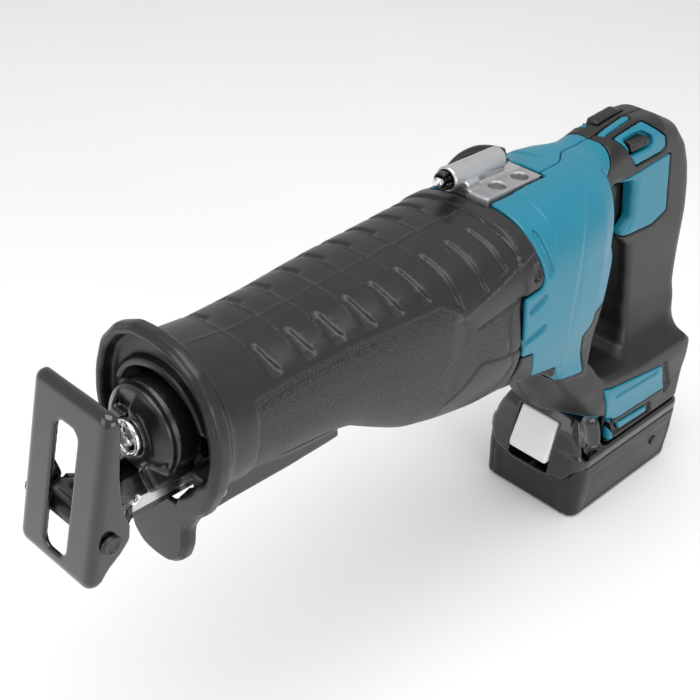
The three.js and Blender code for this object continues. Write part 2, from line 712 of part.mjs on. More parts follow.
const hardShell = clamshell();
const softSkin = overmould();
place('clamshell_left', hardShell.intersect(leftHalf), 'teal');
place('clamshell_right', hardShell.intersect(rightHalf), 'teal');
place('overmould_left', softSkin.intersect(leftHalf), 'overmould');
place('overmould_right', softSkin.intersect(rightHalf), 'overmould');
SCREWS.forEach(([x, z], i) => place(`housing_screw_${i + 1}`, screw(x, z), 'steel'));

place('gear_housing', gearHousing(), 'aluminium');
place('rubber_boot', boot(), 'rubber');
place('hook_bracket', hookBracket(), 'aluminium');
place('hook_wire', hookWire(), 'gloss_black');

const motor = motorPieces();
place('rotor_shaft', motor.rotor_shaft, 'steel');
place('rotor_core', motor.rotor_core, 'steel');
place('cooling_fan', motor.cooling_fan, 'charcoal');
place('stator', motor.stator, 'copper');
place('sensor_board', motor.sensor_board, 'board');
place('rear_motor_bearing', motor.rear_motor_bearing, 'steel');
place('front_motor_bearing', motor.front_motor_bearing, 'steel');
place('drive_gear', driveGear(), 'steel');
place('gear_bearing', tube('z', 152, 160, GEAR_X, 0, 11, 6 + GAP, 24), 'steel');

place('slider', slider(), 'steel');
place('rear_slider_bush', tube('x', 214, 232, 0, BLADE_Z, 10.1, SLIDER_RADIUS + GAP, 24), 'bronze');
place('front_slider_bush', tube('x', 300, 316, 0, BLADE_Z, 10.1, SLIDER_RADIUS + GAP, 24), 'bronze');
place('slider_seal', tube('x', 320, 331, 0, BLADE_Z, 12, SLIDER_RADIUS + GAP, 24), 'rubber');
place('blade_holder', bladeHolder(), 'chrome');
place('clamp_sleeve', clampSleeve(), 'gloss_black');
place('shoe_bar', shoeBar(), 'zinc');
place('shoe_rivet', shoeRivet(), 'steel');
place('shoe_plate', shoePlate(), 'gloss_black');
place('shoe_lock_lever', shoeLockLever(), 'charcoal');
for (const [name, side] of [['left', 1], ['right', -1]]) {
  const [low, high] = side > 0 ? [14.4, 26] : [-26, -14.4];
  place(`lever_pin_${name}`, rod('y', low, high, LEVER.pinX, LEVER.pinZ, LEVER.pinRadius, 16), 'steel');
}

place('trigger', trigger(), 'charcoal');
place('trigger_switch', box(-28, -0.8, -10.4, 10.4, 188, 219), 'charcoal');
place('lock_off_button', rod('y', -20.5, 19.6, 27, 243, 6.3, 20), 'charcoal');
place('mode_button', box(16, 40, -12.5, -4.5, 251, 257.6), 'charcoal');
place('motor_controller', box(-44, 18, -24, 24, 70, 84), 'charcoal');
place('terminal_block', box(-34, -2, -17, 17, 58.4, 65.2), 'charcoal');

place('battery_lower_case', batteryLower(), 'charcoal');
place('battery_upper_case', batteryUpper(), 'gloss_black');
place('battery_button', batteryButton(), 'white');
place('latch_spring', latchSpring(53, 0, 31.3, 35.3), 'steel');
place('battery_board', box(-42, 46, -27, 27, 41.2, 42.8), 'board');
place('battery_check_button', rod('y', 35.6, 38.2, -30, 22, 2.8, 14), 'charcoal');
CELL.rows.forEach((z, row) => {
  for (let i = 0; i < CELL.perRow; i++) {
    const x = (i - (CELL.perRow - 1) / 2) * CELL.pitch;
    const body = rod('y', -CELL.length / 2, CELL.length / 2, x, z, CELL.radius, 16);
    place(`cell_${row + 1}_${i + 1}`, body, 'cell');
  }
});

export default saw;
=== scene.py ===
"""The looks of the cordless reciprocating saw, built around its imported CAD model.

Lengths inside the shape code are millimetres in the saw's own frame: X toward the blade, Y to the
tool's left, Z up, origin under the battery. Meshes are written in metres.
"""

import math

import bmesh
import bpy
import numpy as np
import openvdb
from mathutils import Matrix, Vector


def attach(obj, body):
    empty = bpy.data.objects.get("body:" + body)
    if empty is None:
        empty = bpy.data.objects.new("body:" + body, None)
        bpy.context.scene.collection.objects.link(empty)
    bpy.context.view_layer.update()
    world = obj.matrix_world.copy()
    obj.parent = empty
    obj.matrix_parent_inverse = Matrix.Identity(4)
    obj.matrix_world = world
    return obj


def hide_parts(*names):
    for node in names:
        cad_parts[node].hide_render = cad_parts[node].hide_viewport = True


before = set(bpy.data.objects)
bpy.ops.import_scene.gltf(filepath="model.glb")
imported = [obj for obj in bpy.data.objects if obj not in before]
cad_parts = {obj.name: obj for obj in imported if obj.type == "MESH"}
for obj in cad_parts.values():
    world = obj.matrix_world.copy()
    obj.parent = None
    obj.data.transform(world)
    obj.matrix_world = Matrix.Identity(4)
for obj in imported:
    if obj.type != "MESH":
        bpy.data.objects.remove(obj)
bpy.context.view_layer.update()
bpy.context.scene.view_settings.view_transform = "Standard"

MM = 0.001
STEP = 0.75  # grid spacing the shapes are sampled at
GAP = 0.25  # clearance left on each side of a parting line
BLADE_Z = 205.0  # height of the blade's axis

# Centre lines of round features: (X, Z), except the hook's tube, which is (Y, Z).
RIVET = (402, 180)
LEVER_PIN = (342, 174)
LOCK_AXIS = (27, 243)
CHECK_AXIS = (-30, 22)
TUBE_AXIS = (-13, 254)
SCREWS = ((-35, 206), (-40, 120), (70, 112), (66, 228), (38, 88))
PLATE_HOLES = ((134, 0.4), (116, 0.9))  # (X, Y) on the hook's plate
KEY_CENTRE = (28, -8.5)  # (X, Y) of the mode key
HOOK_SIDE = -60  # Y of the wire where it hangs beside the saw
WIRE_RADIUS = 2.6
SHOE_LEAN = 10.3  # degrees the shoe plate leans back at rest


# ---------------------------------------------------------------- materials
def srgb(red, green, blue):
    def linear(value):
        value /= 255
        return value / 12.92 if value <= 0.04045 else ((value + 0.055) / 1.055) ** 2.4
    return (linear(red), linear(green), linear(blue), 1.0)


def shade(color, factor):
    return tuple(min(1.0, c * factor) for c in color[:3]) + (1.0,)


def make_material(name, color, roughness, metallic=0.0, vary=0.12, vary_scale=60, grain=0.0,
                  grain_scale=900, grain_depth=0.0002, rough_vary=0.08, coat=0.0, coat_rough=0.1,
                  specular=0.5, stretch=(1, 1, 1), edge_wear_and_highlight=0.0):
    """A Principled surface with noise in its colour, its roughness and its fine relief."""
    material = bpy.data.materials.new(name)
    material.use_nodes = True
    nodes, links = material.node_tree.nodes, material.node_tree.links
    surface = nodes["Principled BSDF"]
    surface.inputs["Metallic"].default_value = metallic
    surface.inputs["Coat Weight"].default_value = coat
    surface.inputs["Coat Roughness"].default_value = coat_rough
    surface.inputs["Specular IOR Level"].default_value = specular
    place = nodes.new("ShaderNodeTexCoord")
    mapping = nodes.new("ShaderNodeMapping")
    mapping.inputs["Scale"].default_value = stretch
    links.new(place.outputs["Object"], mapping.inputs["Vector"])

    def noise(scale, detail):
        node = nodes.new("ShaderNodeTexNoise")
        node.inputs["Scale"].default_value = scale
        node.inputs["Detail"].default_value = detail
        links.new(mapping.outputs["Vector"], node.inputs["Vector"])
        return node.outputs["Fac"]

    broad = noise(vary_scale, 4)
    ramp = nodes.new("ShaderNodeValToRGB")
    ramp.color_ramp.elements[0].position = 0.3
    ramp.color_ramp.elements[0].color = shade(color, 1 - vary)
    ramp.color_ramp.elements[1].position = 0.7
    ramp.color_ramp.elements[1].color = shade(color, 1 + vary)
    links.new(broad, ramp.inputs["Fac"])
    tint = ramp.outputs["Color"]
    # Sharp convex edges (high pointiness) are lightened: partly rubbed wear, partly a painted highlight
    # along the edges.
    if edge_wear_and_highlight:
        geometry = nodes.new("ShaderNodeNewGeometry")
        edge = nodes.new("ShaderNodeMapRange")
        edge.inputs["From Min"].default_value = 0.52
        edge.inputs["From Max"].default_value = 0.62
        edge.inputs["To Max"].default_value = edge_wear_and_highlight
        links.new(geometry.outputs["Pointiness"], edge.inputs["Value"])
        mix = nodes.new("ShaderNodeMix")
        mix.data_type = "RGBA"
        mix.inputs["B"].default_value = shade(color, 1.9)
        links.new(edge.outputs["Result"], mix.inputs["Factor"])
        links.new(tint, mix.inputs["A"])
        tint = mix.outputs["Result"]
    links.new(tint, surface.inputs["Base Color"])
    rough = nodes.new("ShaderNodeMapRange")
    rough.inputs["To Min"].default_value = max(0.03, roughness - rough_vary)
    rough.inputs["To Max"].default_value = min(1.0, roughness + rough_vary)
    links.new(broad, rough.inputs["Value"])
    links.new(rough.outputs["Result"], surface.inputs["Roughness"])
    if grain:
        bump = nodes.new("ShaderNodeBump")
        bump.inputs["Strength"].default_value = grain
        bump.inputs["Distance"].default_value = grain_depth
        links.new(noise(grain_scale, 3), bump.inputs["Height"])
        links.new(bump.outputs["Normal"], surface.inputs["Normal"])
    return material


def pebble_material(name, color, roughness):
    """Rubber moulded with a leather-like grain: rounded cells with fine grooves between them."""
    material = make_material(name, color, roughness, vary=0.1, vary_scale=40)
    nodes, links = material.node_tree.nodes, material.node_tree.links
    surface = nodes["Principled BSDF"]
    place = nodes["Texture Coordinate"]
    cells = nodes.new("ShaderNodeTexVoronoi")
    cells.feature = "SMOOTH_F1"
    cells.inputs["Scale"].default_value = 1000
    cells.inputs["Randomness"].default_value = 1.0
    links.new(place.outputs["Object"], cells.inputs["Vector"])
    bump = nodes.new("ShaderNodeBump")
    bump.invert = True
    bump.inputs["Strength"].default_value = 0.9
    bump.inputs["Distance"].default_value = 0.0006
    links.new(cells.outputs["Distance"], bump.inputs["Height"])
    links.new(bump.outputs["Normal"], surface.inputs["Normal"])
    return material


TEAL = srgb(14, 118, 142)
MATERIALS = {
    "teal": make_material("teal_plastic", TEAL, 0.33, vary=0.04, grain=0.12, grain_scale=1600,
                          grain_depth=0.0001, edge_wear_and_highlight=0.15),
    "soft": make_material("soft_overmould", srgb(20, 19, 19), 0.4, vary=0.12, grain=0.35,
                          grain_scale=2200, grain_depth=0.00012, edge_wear_and_highlight=0.2),
    "boot": make_material("boot_rubber", srgb(25, 25, 26), 0.33, vary=0.1, vary_scale=30, grain=0.2,
                          grain_scale=1500, grain_depth=0.00012, edge_wear_and_highlight=0.3),
    "pebble": pebble_material("boot_grained_rubber", srgb(27, 27, 28), 0.4),
    "cast": make_material("cast_aluminium", srgb(176, 176, 178), 0.42, metallic=0.85, vary=0.1,
                          vary_scale=120, grain=0.5, grain_scale=700, grain_depth=0.0002),
    "satin": make_material("satin_aluminium", srgb(205, 206, 208), 0.28, metallic=0.95, vary=0.06,
                           grain=0.25, grain_scale=900, grain_depth=0.00008, stretch=(1, 12, 12)),
    "steel": make_material("ground_steel", srgb(150, 152, 155), 0.32, metallic=1.0, vary=0.1,
                           grain=0.2, grain_scale=900, grain_depth=0.00008, stretch=(12, 1, 1)),
    "chrome": make_material("chrome", srgb(225, 226, 228), 0.09, metallic=1.0, vary=0.04,
                            rough_vary=0.03),
    "zinc": make_material("bright_zinc", srgb(200, 202, 204), 0.27, metallic=1.0, vary=0.08,
                          vary_scale=90, grain=0.2, grain_scale=500, grain_depth=0.0001),
    "black_steel": make_material("gloss_black_paint", srgb(9, 9, 10), 0.2, vary=0.15, coat=0.8,
                                 coat_rough=0.08, grain=0.06, grain_scale=500, edge_wear_and_highlight=0.5),
    "satin_black": make_material("satin_black_metal", srgb(14, 14, 15), 0.3, vary=0.15, coat=0.3,
                                 coat_rough=0.2, grain=0.1, grain_scale=1200, edge_wear_and_highlight=0.3),
    "charcoal": make_material("charcoal_plastic", srgb(22, 22, 23), 0.36, vary=0.08, grain=0.25,
                              grain_scale=1900, grain_depth=0.0001, edge_wear_and_highlight=0.15),
    "gloss": make_material("gloss_black_plastic", srgb(10, 10, 11), 0.15, vary=0.1, coat=0.6,
                           coat_rough=0.06, grain=0.05, grain_scale=400),
    "white": make_material("white_plastic", srgb(233, 233, 230), 0.38, vary=0.015, grain=0.15,
                           grain_scale=1800, grain_depth=0.0001),
    "winding": make_material("lacquered_winding", srgb(170, 96, 48), 0.35, metallic=0.7, vary=0.2,
                             grain=0.8, grain_scale=400, grain_depth=0.0004, stretch=(1, 6, 6)),
    "bronze": make_material("sintered_bronze", srgb(156, 122, 70), 0.45, metallic=0.9, grain=0.5,
                            grain_scale=1500),
    "board": make_material("lacquered_board", srgb(30, 84, 58), 0.35, vary=0.2, vary_scale=200,
                           coat=0.3, grain=0.3, grain_scale=600),
    "cell": make_material("cell_wrap", srgb(70, 132, 112), 0.3, vary=0.08, coat=0.4),
}


# ---------------------------------------------------------------- fields and meshes
def ease(value):
    """A smooth step from 0 to 1."""
    value = np.clip(value, 0, 1)
    return value * value * (3 - 2 * value)


def away(u, v):
    """Distance from a centre line, from the two offsets across it."""
    return np.sqrt(u ** 2 + v ** 2)


def around(distance, width):
    """A smooth hill of height 1 along a line, for ridges and grooves."""
    return np.exp(-(distance / width) ** 2)


def cornered(a, b):
    """Distance past two sides that meet square, rounded outside their corner."""
    outside = np.sqrt(np.maximum(a, 0) ** 2 + np.maximum(b, 0) ** 2)
    return outside + np.minimum(np.maximum(a, b), 0)


def soft_max(a, b, width):
    """The larger of two fields, rounded over where they meet: the edge of an intersection."""
    blend = np.maximum(width - np.abs(a - b), 0) / width
    return np.maximum(a, b) + blend * blend * width / 4


def soft_min(a, b, width):
    """The smaller of two fields with a fillet where they meet: a union."""
    return -soft_max(-a, -b, width)


def outline_distance(points, u, v):
    """Signed distance to a closed outline, negative inside, for broadcastable coordinates u, v."""
    shape = np.broadcast(u, v).shape
    nearest = np.full(shape, 1e9, np.float32)
    inside = np.zeros(shape, bool)
    for (au, av), (bu, bv) in zip(points, points[1:] + points[:1]):
        du, dv = bu - au, bv - av
        along = np.clip(((u - au) * du + (v - av) * dv) / (du * du + dv * dv), 0, 1)
        nearest = np.minimum(nearest, (u - au - along * du) ** 2 + (v - av - along * dv) ** 2)
        if av != bv:
            crosses = (av > v) != (bv > v)
            inside ^= crosses & (u < au + (v - av) * du / dv)
    distance = np.sqrt(nearest)
    return np.where(inside, -distance, distance)


def line_distance(points, u, v):
    """Distance to an open line of points."""
    nearest = None
    for (au, av), (bu, bv) in zip(points, points[1:]):
        du, dv = bu - au, bv - av
        along = np.clip(((u - au) * du + (v - av) * dv) / (du * du + dv * dv), 0, 1)
        square = (u - au - along * du) ** 2 + (v - av - along * dv) ** 2
        nearest = square if nearest is None else np.minimum(nearest, square)
    return np.sqrt(nearest)


def blurred(values, radius, axes):
    """Rounds the corners of a field by averaging it over a distance along the given axes."""
    reach = max(1, int(round(radius / STEP)))
    weights = np.hanning(2 * reach + 3)[1:-1]
    weights = weights / weights.sum()
    for axis in axes:
        padded = np.concatenate([np.repeat(np.take(values, [0], axis), reach, axis), values,
                                 np.repeat(np.take(values, [-1], axis), reach, axis)], axis)
        count = values.shape[axis]
        values = sum(w * np.take(padded, range(i, i + count), axis) for i, w in enumerate(weights))
    return values.astype(np.float32)


class Space:
    """A box of space sampled on a regular grid. Fields are negative inside a solid."""

    def __init__(self, low, high):
        self.low = np.array(low, float)
        counts = np.ceil((np.array(high, float) - self.low) / STEP).astype(int) + 1
        axes = [(self.low[i] + STEP * np.arange(counts[i])).astype(np.float32) for i in range(3)]
        self.x = axes[0][:, None, None]
        self.y = axes[1][None, :, None]
        self.z = axes[2][None, None, :]

    def outline(self, points, radius=0.0):
        """Side view (X, Z) outline distance, with corners rounded."""
        distance = outline_distance(points, self.x, self.z)
        return blurred(distance, radius, (0, 2)) if radius else distance.astype(np.float32)

    def box(self, x0, x1, y0, y1, z0, z1):
        across = np.maximum(np.abs(self.x - (x0 + x1) / 2) - (x1 - x0) / 2,
                            np.abs(self.y - (y0 + y1) / 2) - (y1 - y0) / 2)
        return np.maximum(across, np.abs(self.z - (z0 + z1) / 2) - (z1 - z0) / 2)

    def loft(self, sections, blur):
        """A body whose rounded cross-section changes along X."""
        table = np.array(sections, float)
        grid = self.x[:, 0, 0]
        values = [np.interp(grid, table[:, 0], table[:, i]) for i in range(1, 6)]
        values = [blurred(v.astype(np.float32), blur, (0,))[:, None, None] for v in values]
        top, bottom, half, middle, power = values
        up = self.z - middle
        rise = np.where(up > 0, top - middle, middle - bottom)
        ratio = ((np.abs(self.y) / half) ** power + (np.abs(up) / rise) ** power) ** (1 / power)
        length = np.sqrt(self.y ** 2 + up ** 2)
        return (length - length / np.maximum(ratio, 0.05)).astype(np.float32)

    def mesh(self, name, field, material, extra=None):
        """Turns a field into a mesh object, with smooth faces."""
        grid = openvdb.FloatGrid(background=3 * STEP)
        grid.copyFromArray(np.ascontiguousarray(np.clip(field, -3 * STEP, 3 * STEP), np.float32))
        points, quads = grid.convertToQuads(isovalue=0.0)
        points = (points * STEP + self.low) * MM
        item = mesh_object(name, points, quads[:, ::-1], material)
        if extra:
            assign_by_place(item, *extra)
        return item


def mesh_object(name, points, faces, material):
    mesh = bpy.data.meshes.new(name)
    points = np.asarray(points, np.float32)
    faces = np.asarray(faces, np.int32)
    mesh.vertices.add(len(points))
    mesh.vertices.foreach_set("co", points.ravel())
    mesh.loops.add(faces.size)
    mesh.loops.foreach_set("vertex_index", faces.ravel())
    mesh.polygons.add(len(faces))
    mesh.polygons.foreach_set("loop_start", np.arange(0, faces.size, faces.shape[1], dtype=np.int32))
    mesh.update(calc_edges=True)
    mesh.validate()
    mesh.polygons.foreach_set("use_smooth", np.ones(len(mesh.polygons), bool))
    item = bpy.data.objects.new(name, mesh)
    bpy.context.scene.collection.objects.link(item)
    mesh.materials.append(MATERIALS[material])
    return item


def assign_by_place(item, material, test):
    """Gives the faces whose centre passes a test in millimetres a second material."""
    mesh = item.data
    mesh.materials.append(MATERIALS[material])
    centres = np.zeros(len(mesh.polygons) * 3, np.float32)
    mesh.polygons.foreach_get("center", centres)
    centres = centres.reshape(-1, 3) / MM
    index = test(centres[:, 0], centres[:, 1], centres[:, 2]).astype(np.int32)
    mesh.polygons.foreach_set("material_index", index)


def settle(item, body, replaced):
    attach(item, body)
    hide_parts(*replaced)


# ---------------------------------------------------------------- the rubber boot
# Sections along X: (x, top, bottom, half width, level of the widest line, squareness).
BOOT_SECTIONS = [
    (144, 244.2, 132.5, 46, 208, 2.7), (175, 243.4, 134.5, 45.5, 206, 2.7),
    (200, 241.8, 138.5, 45, 206, 2.6), (225, 240.5, 145.5, 44, 206, 2.6),
    (245, 239.2, 156, 42.5, 207, 2.6), (262, 238.2, 165, 41, 208, 2.5),
    (280, 236.5, 169, 39.5, 208, 2.5), (315, 235.5, 170, 38, 208, 2.4),
    (346, 239, 169, 38, 208, 2.3), (366, 244, 169, 39, 208, 2.3),
]
# Left half of the flange and of the mouth, seen from the front: (Y, Z) from top to bottom.
FLANGE = [
    (0, 250.5), (14, 249), (27, 242.5), (36, 231), (40.5, 216), (41.5, 203), (39, 188), (33, 174),
    (25, 166), (20.5, 158), (20, 147), (17, 138), (10, 132), (0, 130.8),
]
MOUTH = [
    (0, 229), (12, 227), (21, 221.5), (26.5, 213), (28.3, 203), (26.5, 192), (21.5, 184),
    (15, 178), (0, 175),
]
# X of the ribs across the top of the boot; the lines below are side views, (X, Z).
RIDGES = [319.7, 299.9, 282.3, 264.2, 247.5, 230.2, 212.8, 194.7, 178.3, 163.6]
PANEL_EDGE = [(360, 220), (329, 223.2), (271, 226), (220, 226.8), (203.5, 216.4), (150, 232)]
PANEL_LINE = [(328, 218.6), (298, 221), (262, 222.4)]
FACET_EDGE = [(205, 215), (191.6, 204.3), (150, 211.5)]
BOOT_REAR = [
    (150, 270), (150, 236), (148, 229), (143.6, 215.3), (144.8, 210.6), (158.9, 209), (158.4, 203),
    (154.5, 180), (152.2, 170.5), (152, 158), (148.5, 150), (148, 120), (400, 120), (400, 270),
]
CORNER_PANEL = [(152, 177), (163, 177.5), (184, 181.5), (187.5, 180), (195.1, 172.8), (206, 164.5)]


def mirrored(points):
    return points + [(-y, z) for y, z in reversed(points) if y]


def front_outline(space, points, radius):
    """A front view (Y, Z) outline distance with rounded corners, the same all along X."""
    distance = outline_distance(mirrored(points), space.y[0][None], space.z[0][None])
    return blurred(distance.astype(np.float32), radius, (1, 2))


def heights(points, x):
    table = np.array(sorted(points), float)
    return np.interp(x[:, 0, 0], table[:, 0], table[:, 1])[:, None, None].astype(np.float32)


def make_boot():
    space = Space((141, -48, 126), (361, 48, 254))
    x, y, z = space.x, space.y, space.z
    side = np.abs(y)
    skin = space.loft(BOOT_SECTIONS, 9)
    inside = skin + 4.7

    # Ribs across the top: a shallow saw-tooth, deepening into flared grooves down each side.
    panel_edge = heights(PANEL_EDGE, x)
    above = ease((z - panel_edge - 2.4) / 1.6)
    relief = np.zeros_like(skin)
    on_top = ease((z - 222) / 8)
    for ridge in RIDGES:
        behind = ridge - x
        tooth = 0.75 * ease((16 - behind) / 16) * (behind > 0)
        relief += tooth * on_top * ease((30 - side) / 9)
        width = 5.6 + 1.6 * ease((panel_edge + 8 - z) / 5)
        strip = ease((behind + 0.4) / 0.9) * ease((width - behind) / 1.2)
        relief += 1.3 * strip * ease((side - 13) / 3.5) * above
        crest = around(behind, 0.7)
        relief -= 0.6 * crest * on_top * ease((26 - side) / 6)
    wander = 0.25 * np.sin(x * 0.9) * np.sin(x * 0.37)
    relief -= 0.45 * around(y - wander, 0.5) * (z > 215)
    relief *= ease((342 - x) / 6) * ease((x - 160.5) / 1.5)

    # The ring that grips the motor housing stands proud of the ribs.
    ring_edge = 161.8 + 2.2 * ease((244 - z) / 10) - 6 * ease((232 - z) / 20)
    ring = ease((ring_edge - x) / 1.6) * (z > 209)
    relief -= 1.0 * ring

    # The grained side panel is let in below an edge that dips in a V near the rear.
    step = ease((panel_edge - z) / 1.0) * ease((333 - x) / 1.6)
    facet_edge = heights(FACET_EDGE, x)
    slope = np.clip((panel_edge - z) / np.maximum(panel_edge - facet_edge, 1), 0, 1)
    rear_zone = ease((214 - x) / 12)
    deep = 0.75 + rear_zone * (0.5 + 1.5 * slope)
    deep *= 1 - 0.75 * rear_zone * ease((facet_edge - 3 - z) / 40)
    relief += step * deep * ease((z - 150) / 30)
    second = line_distance(PANEL_LINE, x, z)
    relief += 0.7 * around(second, 0.8) - 0.35 * around(second - 1.6, 0.7)
    crease = line_distance([(191.6, 204.3), (160, 209.4)], x, z)
    relief += 0.7 * around(crease, 0.9)

    # The smooth corner panel by the belly, and the narrow band in front of the rear edge.
    corner = line_distance(CORNER_PANEL, x, z)
    relief += 1.0 * around(corner, 1.1) * (side > 25)
    band = line_distance([(167.5, 208), (166.5, 192), (163, 178.5)], x, z)
    relief += 0.8 * around(band, 0.9) * (side > 25)
    lower = line_distance([(163, 178.5), (158, 168), (161, 158), (172, 150)], x, z)
    relief += 0.9 * around(lower, 1.0) * (side > 22)
    body = skin + relief * (side < 50)

    # The flange at the front, with a fine double line round its rim.
    flange = front_outline(space, FLANGE, 4)
    plate = soft_max(flange, np.abs(x - 354.6) - 3.4, 2.4)
    plate = soft_min(plate, soft_max(flange + 1.6, x - 359.4, 1.0), 0.6)
    plate = np.maximum(plate, 351 - x)
    body = np.maximum(body, x - 354)
    body = soft_min(body, plate, 7)

    # The mouth: a funnel under an arched brow, a level floor, and the notch for the shoe bar.
    mouth = front_outline(space, MOUTH, 5)
    opening = mouth - 3.5 * ease((x - 346) / 12) * ease((200 - z) / 12)
    dish = soft_max(flange + 5.2, 351.8 - x + 1.2 * ease((side - 20) / 12), 2)
    dish = soft_max(dish, 190 - z, 8)
    arch = np.abs(away(y * 1.02, z - 202) - 29.6) - 2.8
    brow = soft_max(soft_max(arch, x - 356.6, 2), 212 - z, 3)
    body = soft_max(body, -dish, 2.5)
    body = soft_min(body, soft_max(brow, 340 - x, 2), 2.5)
    body = soft_max(body, -soft_max(opening, 336 - x, 2), 3)
    body = np.maximum(body, -space.box(256, 352, -26, 26, 120, 183.5))
    body = soft_max(body, -space.box(345, 365, -15.5, 15.5, 171, 190), 1)
    body = soft_max(body, -space.box(345, 356.5, -13, 13, 152, 175), 2)
    ridge_line = np.minimum(line_distance([(-14, 170), (14, 150)], y, z),
                            line_distance([(14, 170), (-14, 150)], y, z))
    rib = soft_max(ridge_line - 1.0, np.abs(x - 356) - 1.6, 1)
    body = soft_min(body, rib, 1.5)

    body = soft_max(body, -inside * (x < 345) - 40 * (x >= 345), 1)
    body = soft_max(body, space.outline(BOOT_REAR, 1.5), 1.6)
    body = soft_max(body, -space.box(140, 153.4, -27, 9.6, 236, 260), 1)
    slot = soft_max(np.abs(x - 149.5) - 2.6, np.abs(z - 221.5) - 5.4, 1.5)
    body = np.maximum(body, -np.maximum(slot, 42.2 - side))

    def grained(px, py, pz):
        edge = np.interp(px, *np.array(sorted(PANEL_EDGE), float).T)
        facet = np.interp(px, *np.array(sorted(FACET_EDGE), float).T)
        panel = (px < 331) & (px > 167) & (pz < edge - 0.8) & (np.abs(py) > 8)
        panel &= (px > 214) | (pz < facet)
        low = np.interp(px, *np.array(sorted(CORNER_PANEL), float).T)
        panel &= (px > 206) | (pz > low)
        walls = (px > 338) & (px < 357) & (np.abs(py) < 33) & (pz < 196) & (pz > 166)
        return panel | walls

    boot = space.mesh("boot", body, "boot", ("pebble", grained))
    thin(boot, 150000)
    settle(boot, "tool", ["rubber_boot"])


def thin(item, most):
    """Simplifies a mesh to at most so many triangles, keeping its materials."""
    triangles = sum(len(p.vertices) - 2 for p in item.data.polygons)
    if triangles <= most:
        return
    modifier = item.modifiers.new("thin", "DECIMATE")
    modifier.ratio = most / triangles
    evaluated = item.evaluated_get(bpy.context.evaluated_depsgraph_get())
    mesh = bpy.data.meshes.new_from_object(evaluated)
    item.modifiers.clear()
    item.data = mesh


# ---------------------------------------------------------------- motor housing, grip and foot
MOTOR_SECTIONS = [
    (57, 243, 152, 12, 200, 2.6), (60, 246, 147, 22, 200, 2.8), (65, 248.3, 141, 32, 198, 3.0),
    (72, 249.3, 135, 38, 197, 3.1), (84, 249.2, 130, 42, 197, 3.1), (105, 248, 128, 44.5, 198, 2.9),
    (162, 246.3, 134.5, 45.6, 204, 2.7),
]
# Side views, (X, Z), of the grip, the finger gap, the foot, and the areas of each colour.
HANDLE = [
    (100, 245), (57, 250.5), (40, 254.5), (20, 257), (2, 256), (-17, 247), (-31, 233), (-40, 218),
    (-46, 203), (-50, 186), (-53.5, 153), (-55.5, 129), (-57, 105), (-57, 80), (70, 80), (90, 110),
    (100, 140),
]
FINGERS = [
    (12, 108), (8, 117), (8, 135), (12.5, 158), (19, 177), (28.5, 185.5), (29, 189.5), (21, 198),
    (26.5, 222), (46, 226), (54, 222), (57, 205), (58, 170), (57, 132), (51, 112), (43, 106),
    (20, 104),
]
FOOT = [
    (-57, 46.9), (27.5, 46.9), (28.8, 67.5), (47, 75.4), (60, 76), (66, 82), (84, 105), (98, 126),
    (80, 138), (62, 122), (46, 106), (10, 99), (-46, 99), (-57, 90),
]
TEAL_SIDE = [
    (160, 262), (160, 172), (142, 169), (133, 147.5), (110, 143.5), (98.5, 126), (76, 124), (89, 156),
    (80, 163), (81.5, 167.5), (70, 171), (63, 180), (58.5, 195), (58.5, 205), (62, 222), (58, 236),
    (53, 247), (51, 262),
]
GRIP_PANEL = [
    (48, 227), (29.6, 228.6), (-8, 232.4), (-19.5, 191), (-5, 185.6), (26, 187.2), (30.5, 189.5),
    (21.5, 198), (27, 221.5), (48, 224.6),
]
LOCK_SURROUND = [
    (47.5, 255), (46, 262), (30.1, 262), (18.6, 256.5), (1.1, 245.3), (-1.7, 237.9), (3, 235.4),
    (28.5, 234.1),
]
LABEL = [(47.9, 98.6), (40, 96), (-18.2, 88), (-34, 64.2), (27, 66.2), (36, 69.5)]
LABEL_SLOT = [(34.5, 89.5), (-15, 86.5), (-14, 83.6), (33, 86.2)]
SMALL_BAR = [(22, 61), (-12, 58.5), (-15, 52.8), (18, 54.2)]
SMALL_RECESS = [(30, 62.4), (-16, 60.2), (-20, 50.6), (23, 52.2)]
CORNER_BRACKET = [(28, 67), (33, 76), (39, 73), (34, 66), (27, 48.6), (21.8, 48.6)]
REAR_STRIP = [(-43.5, 191), (-60, 191), (-60, 104), (-53.6, 104), (-51.5, 140)]


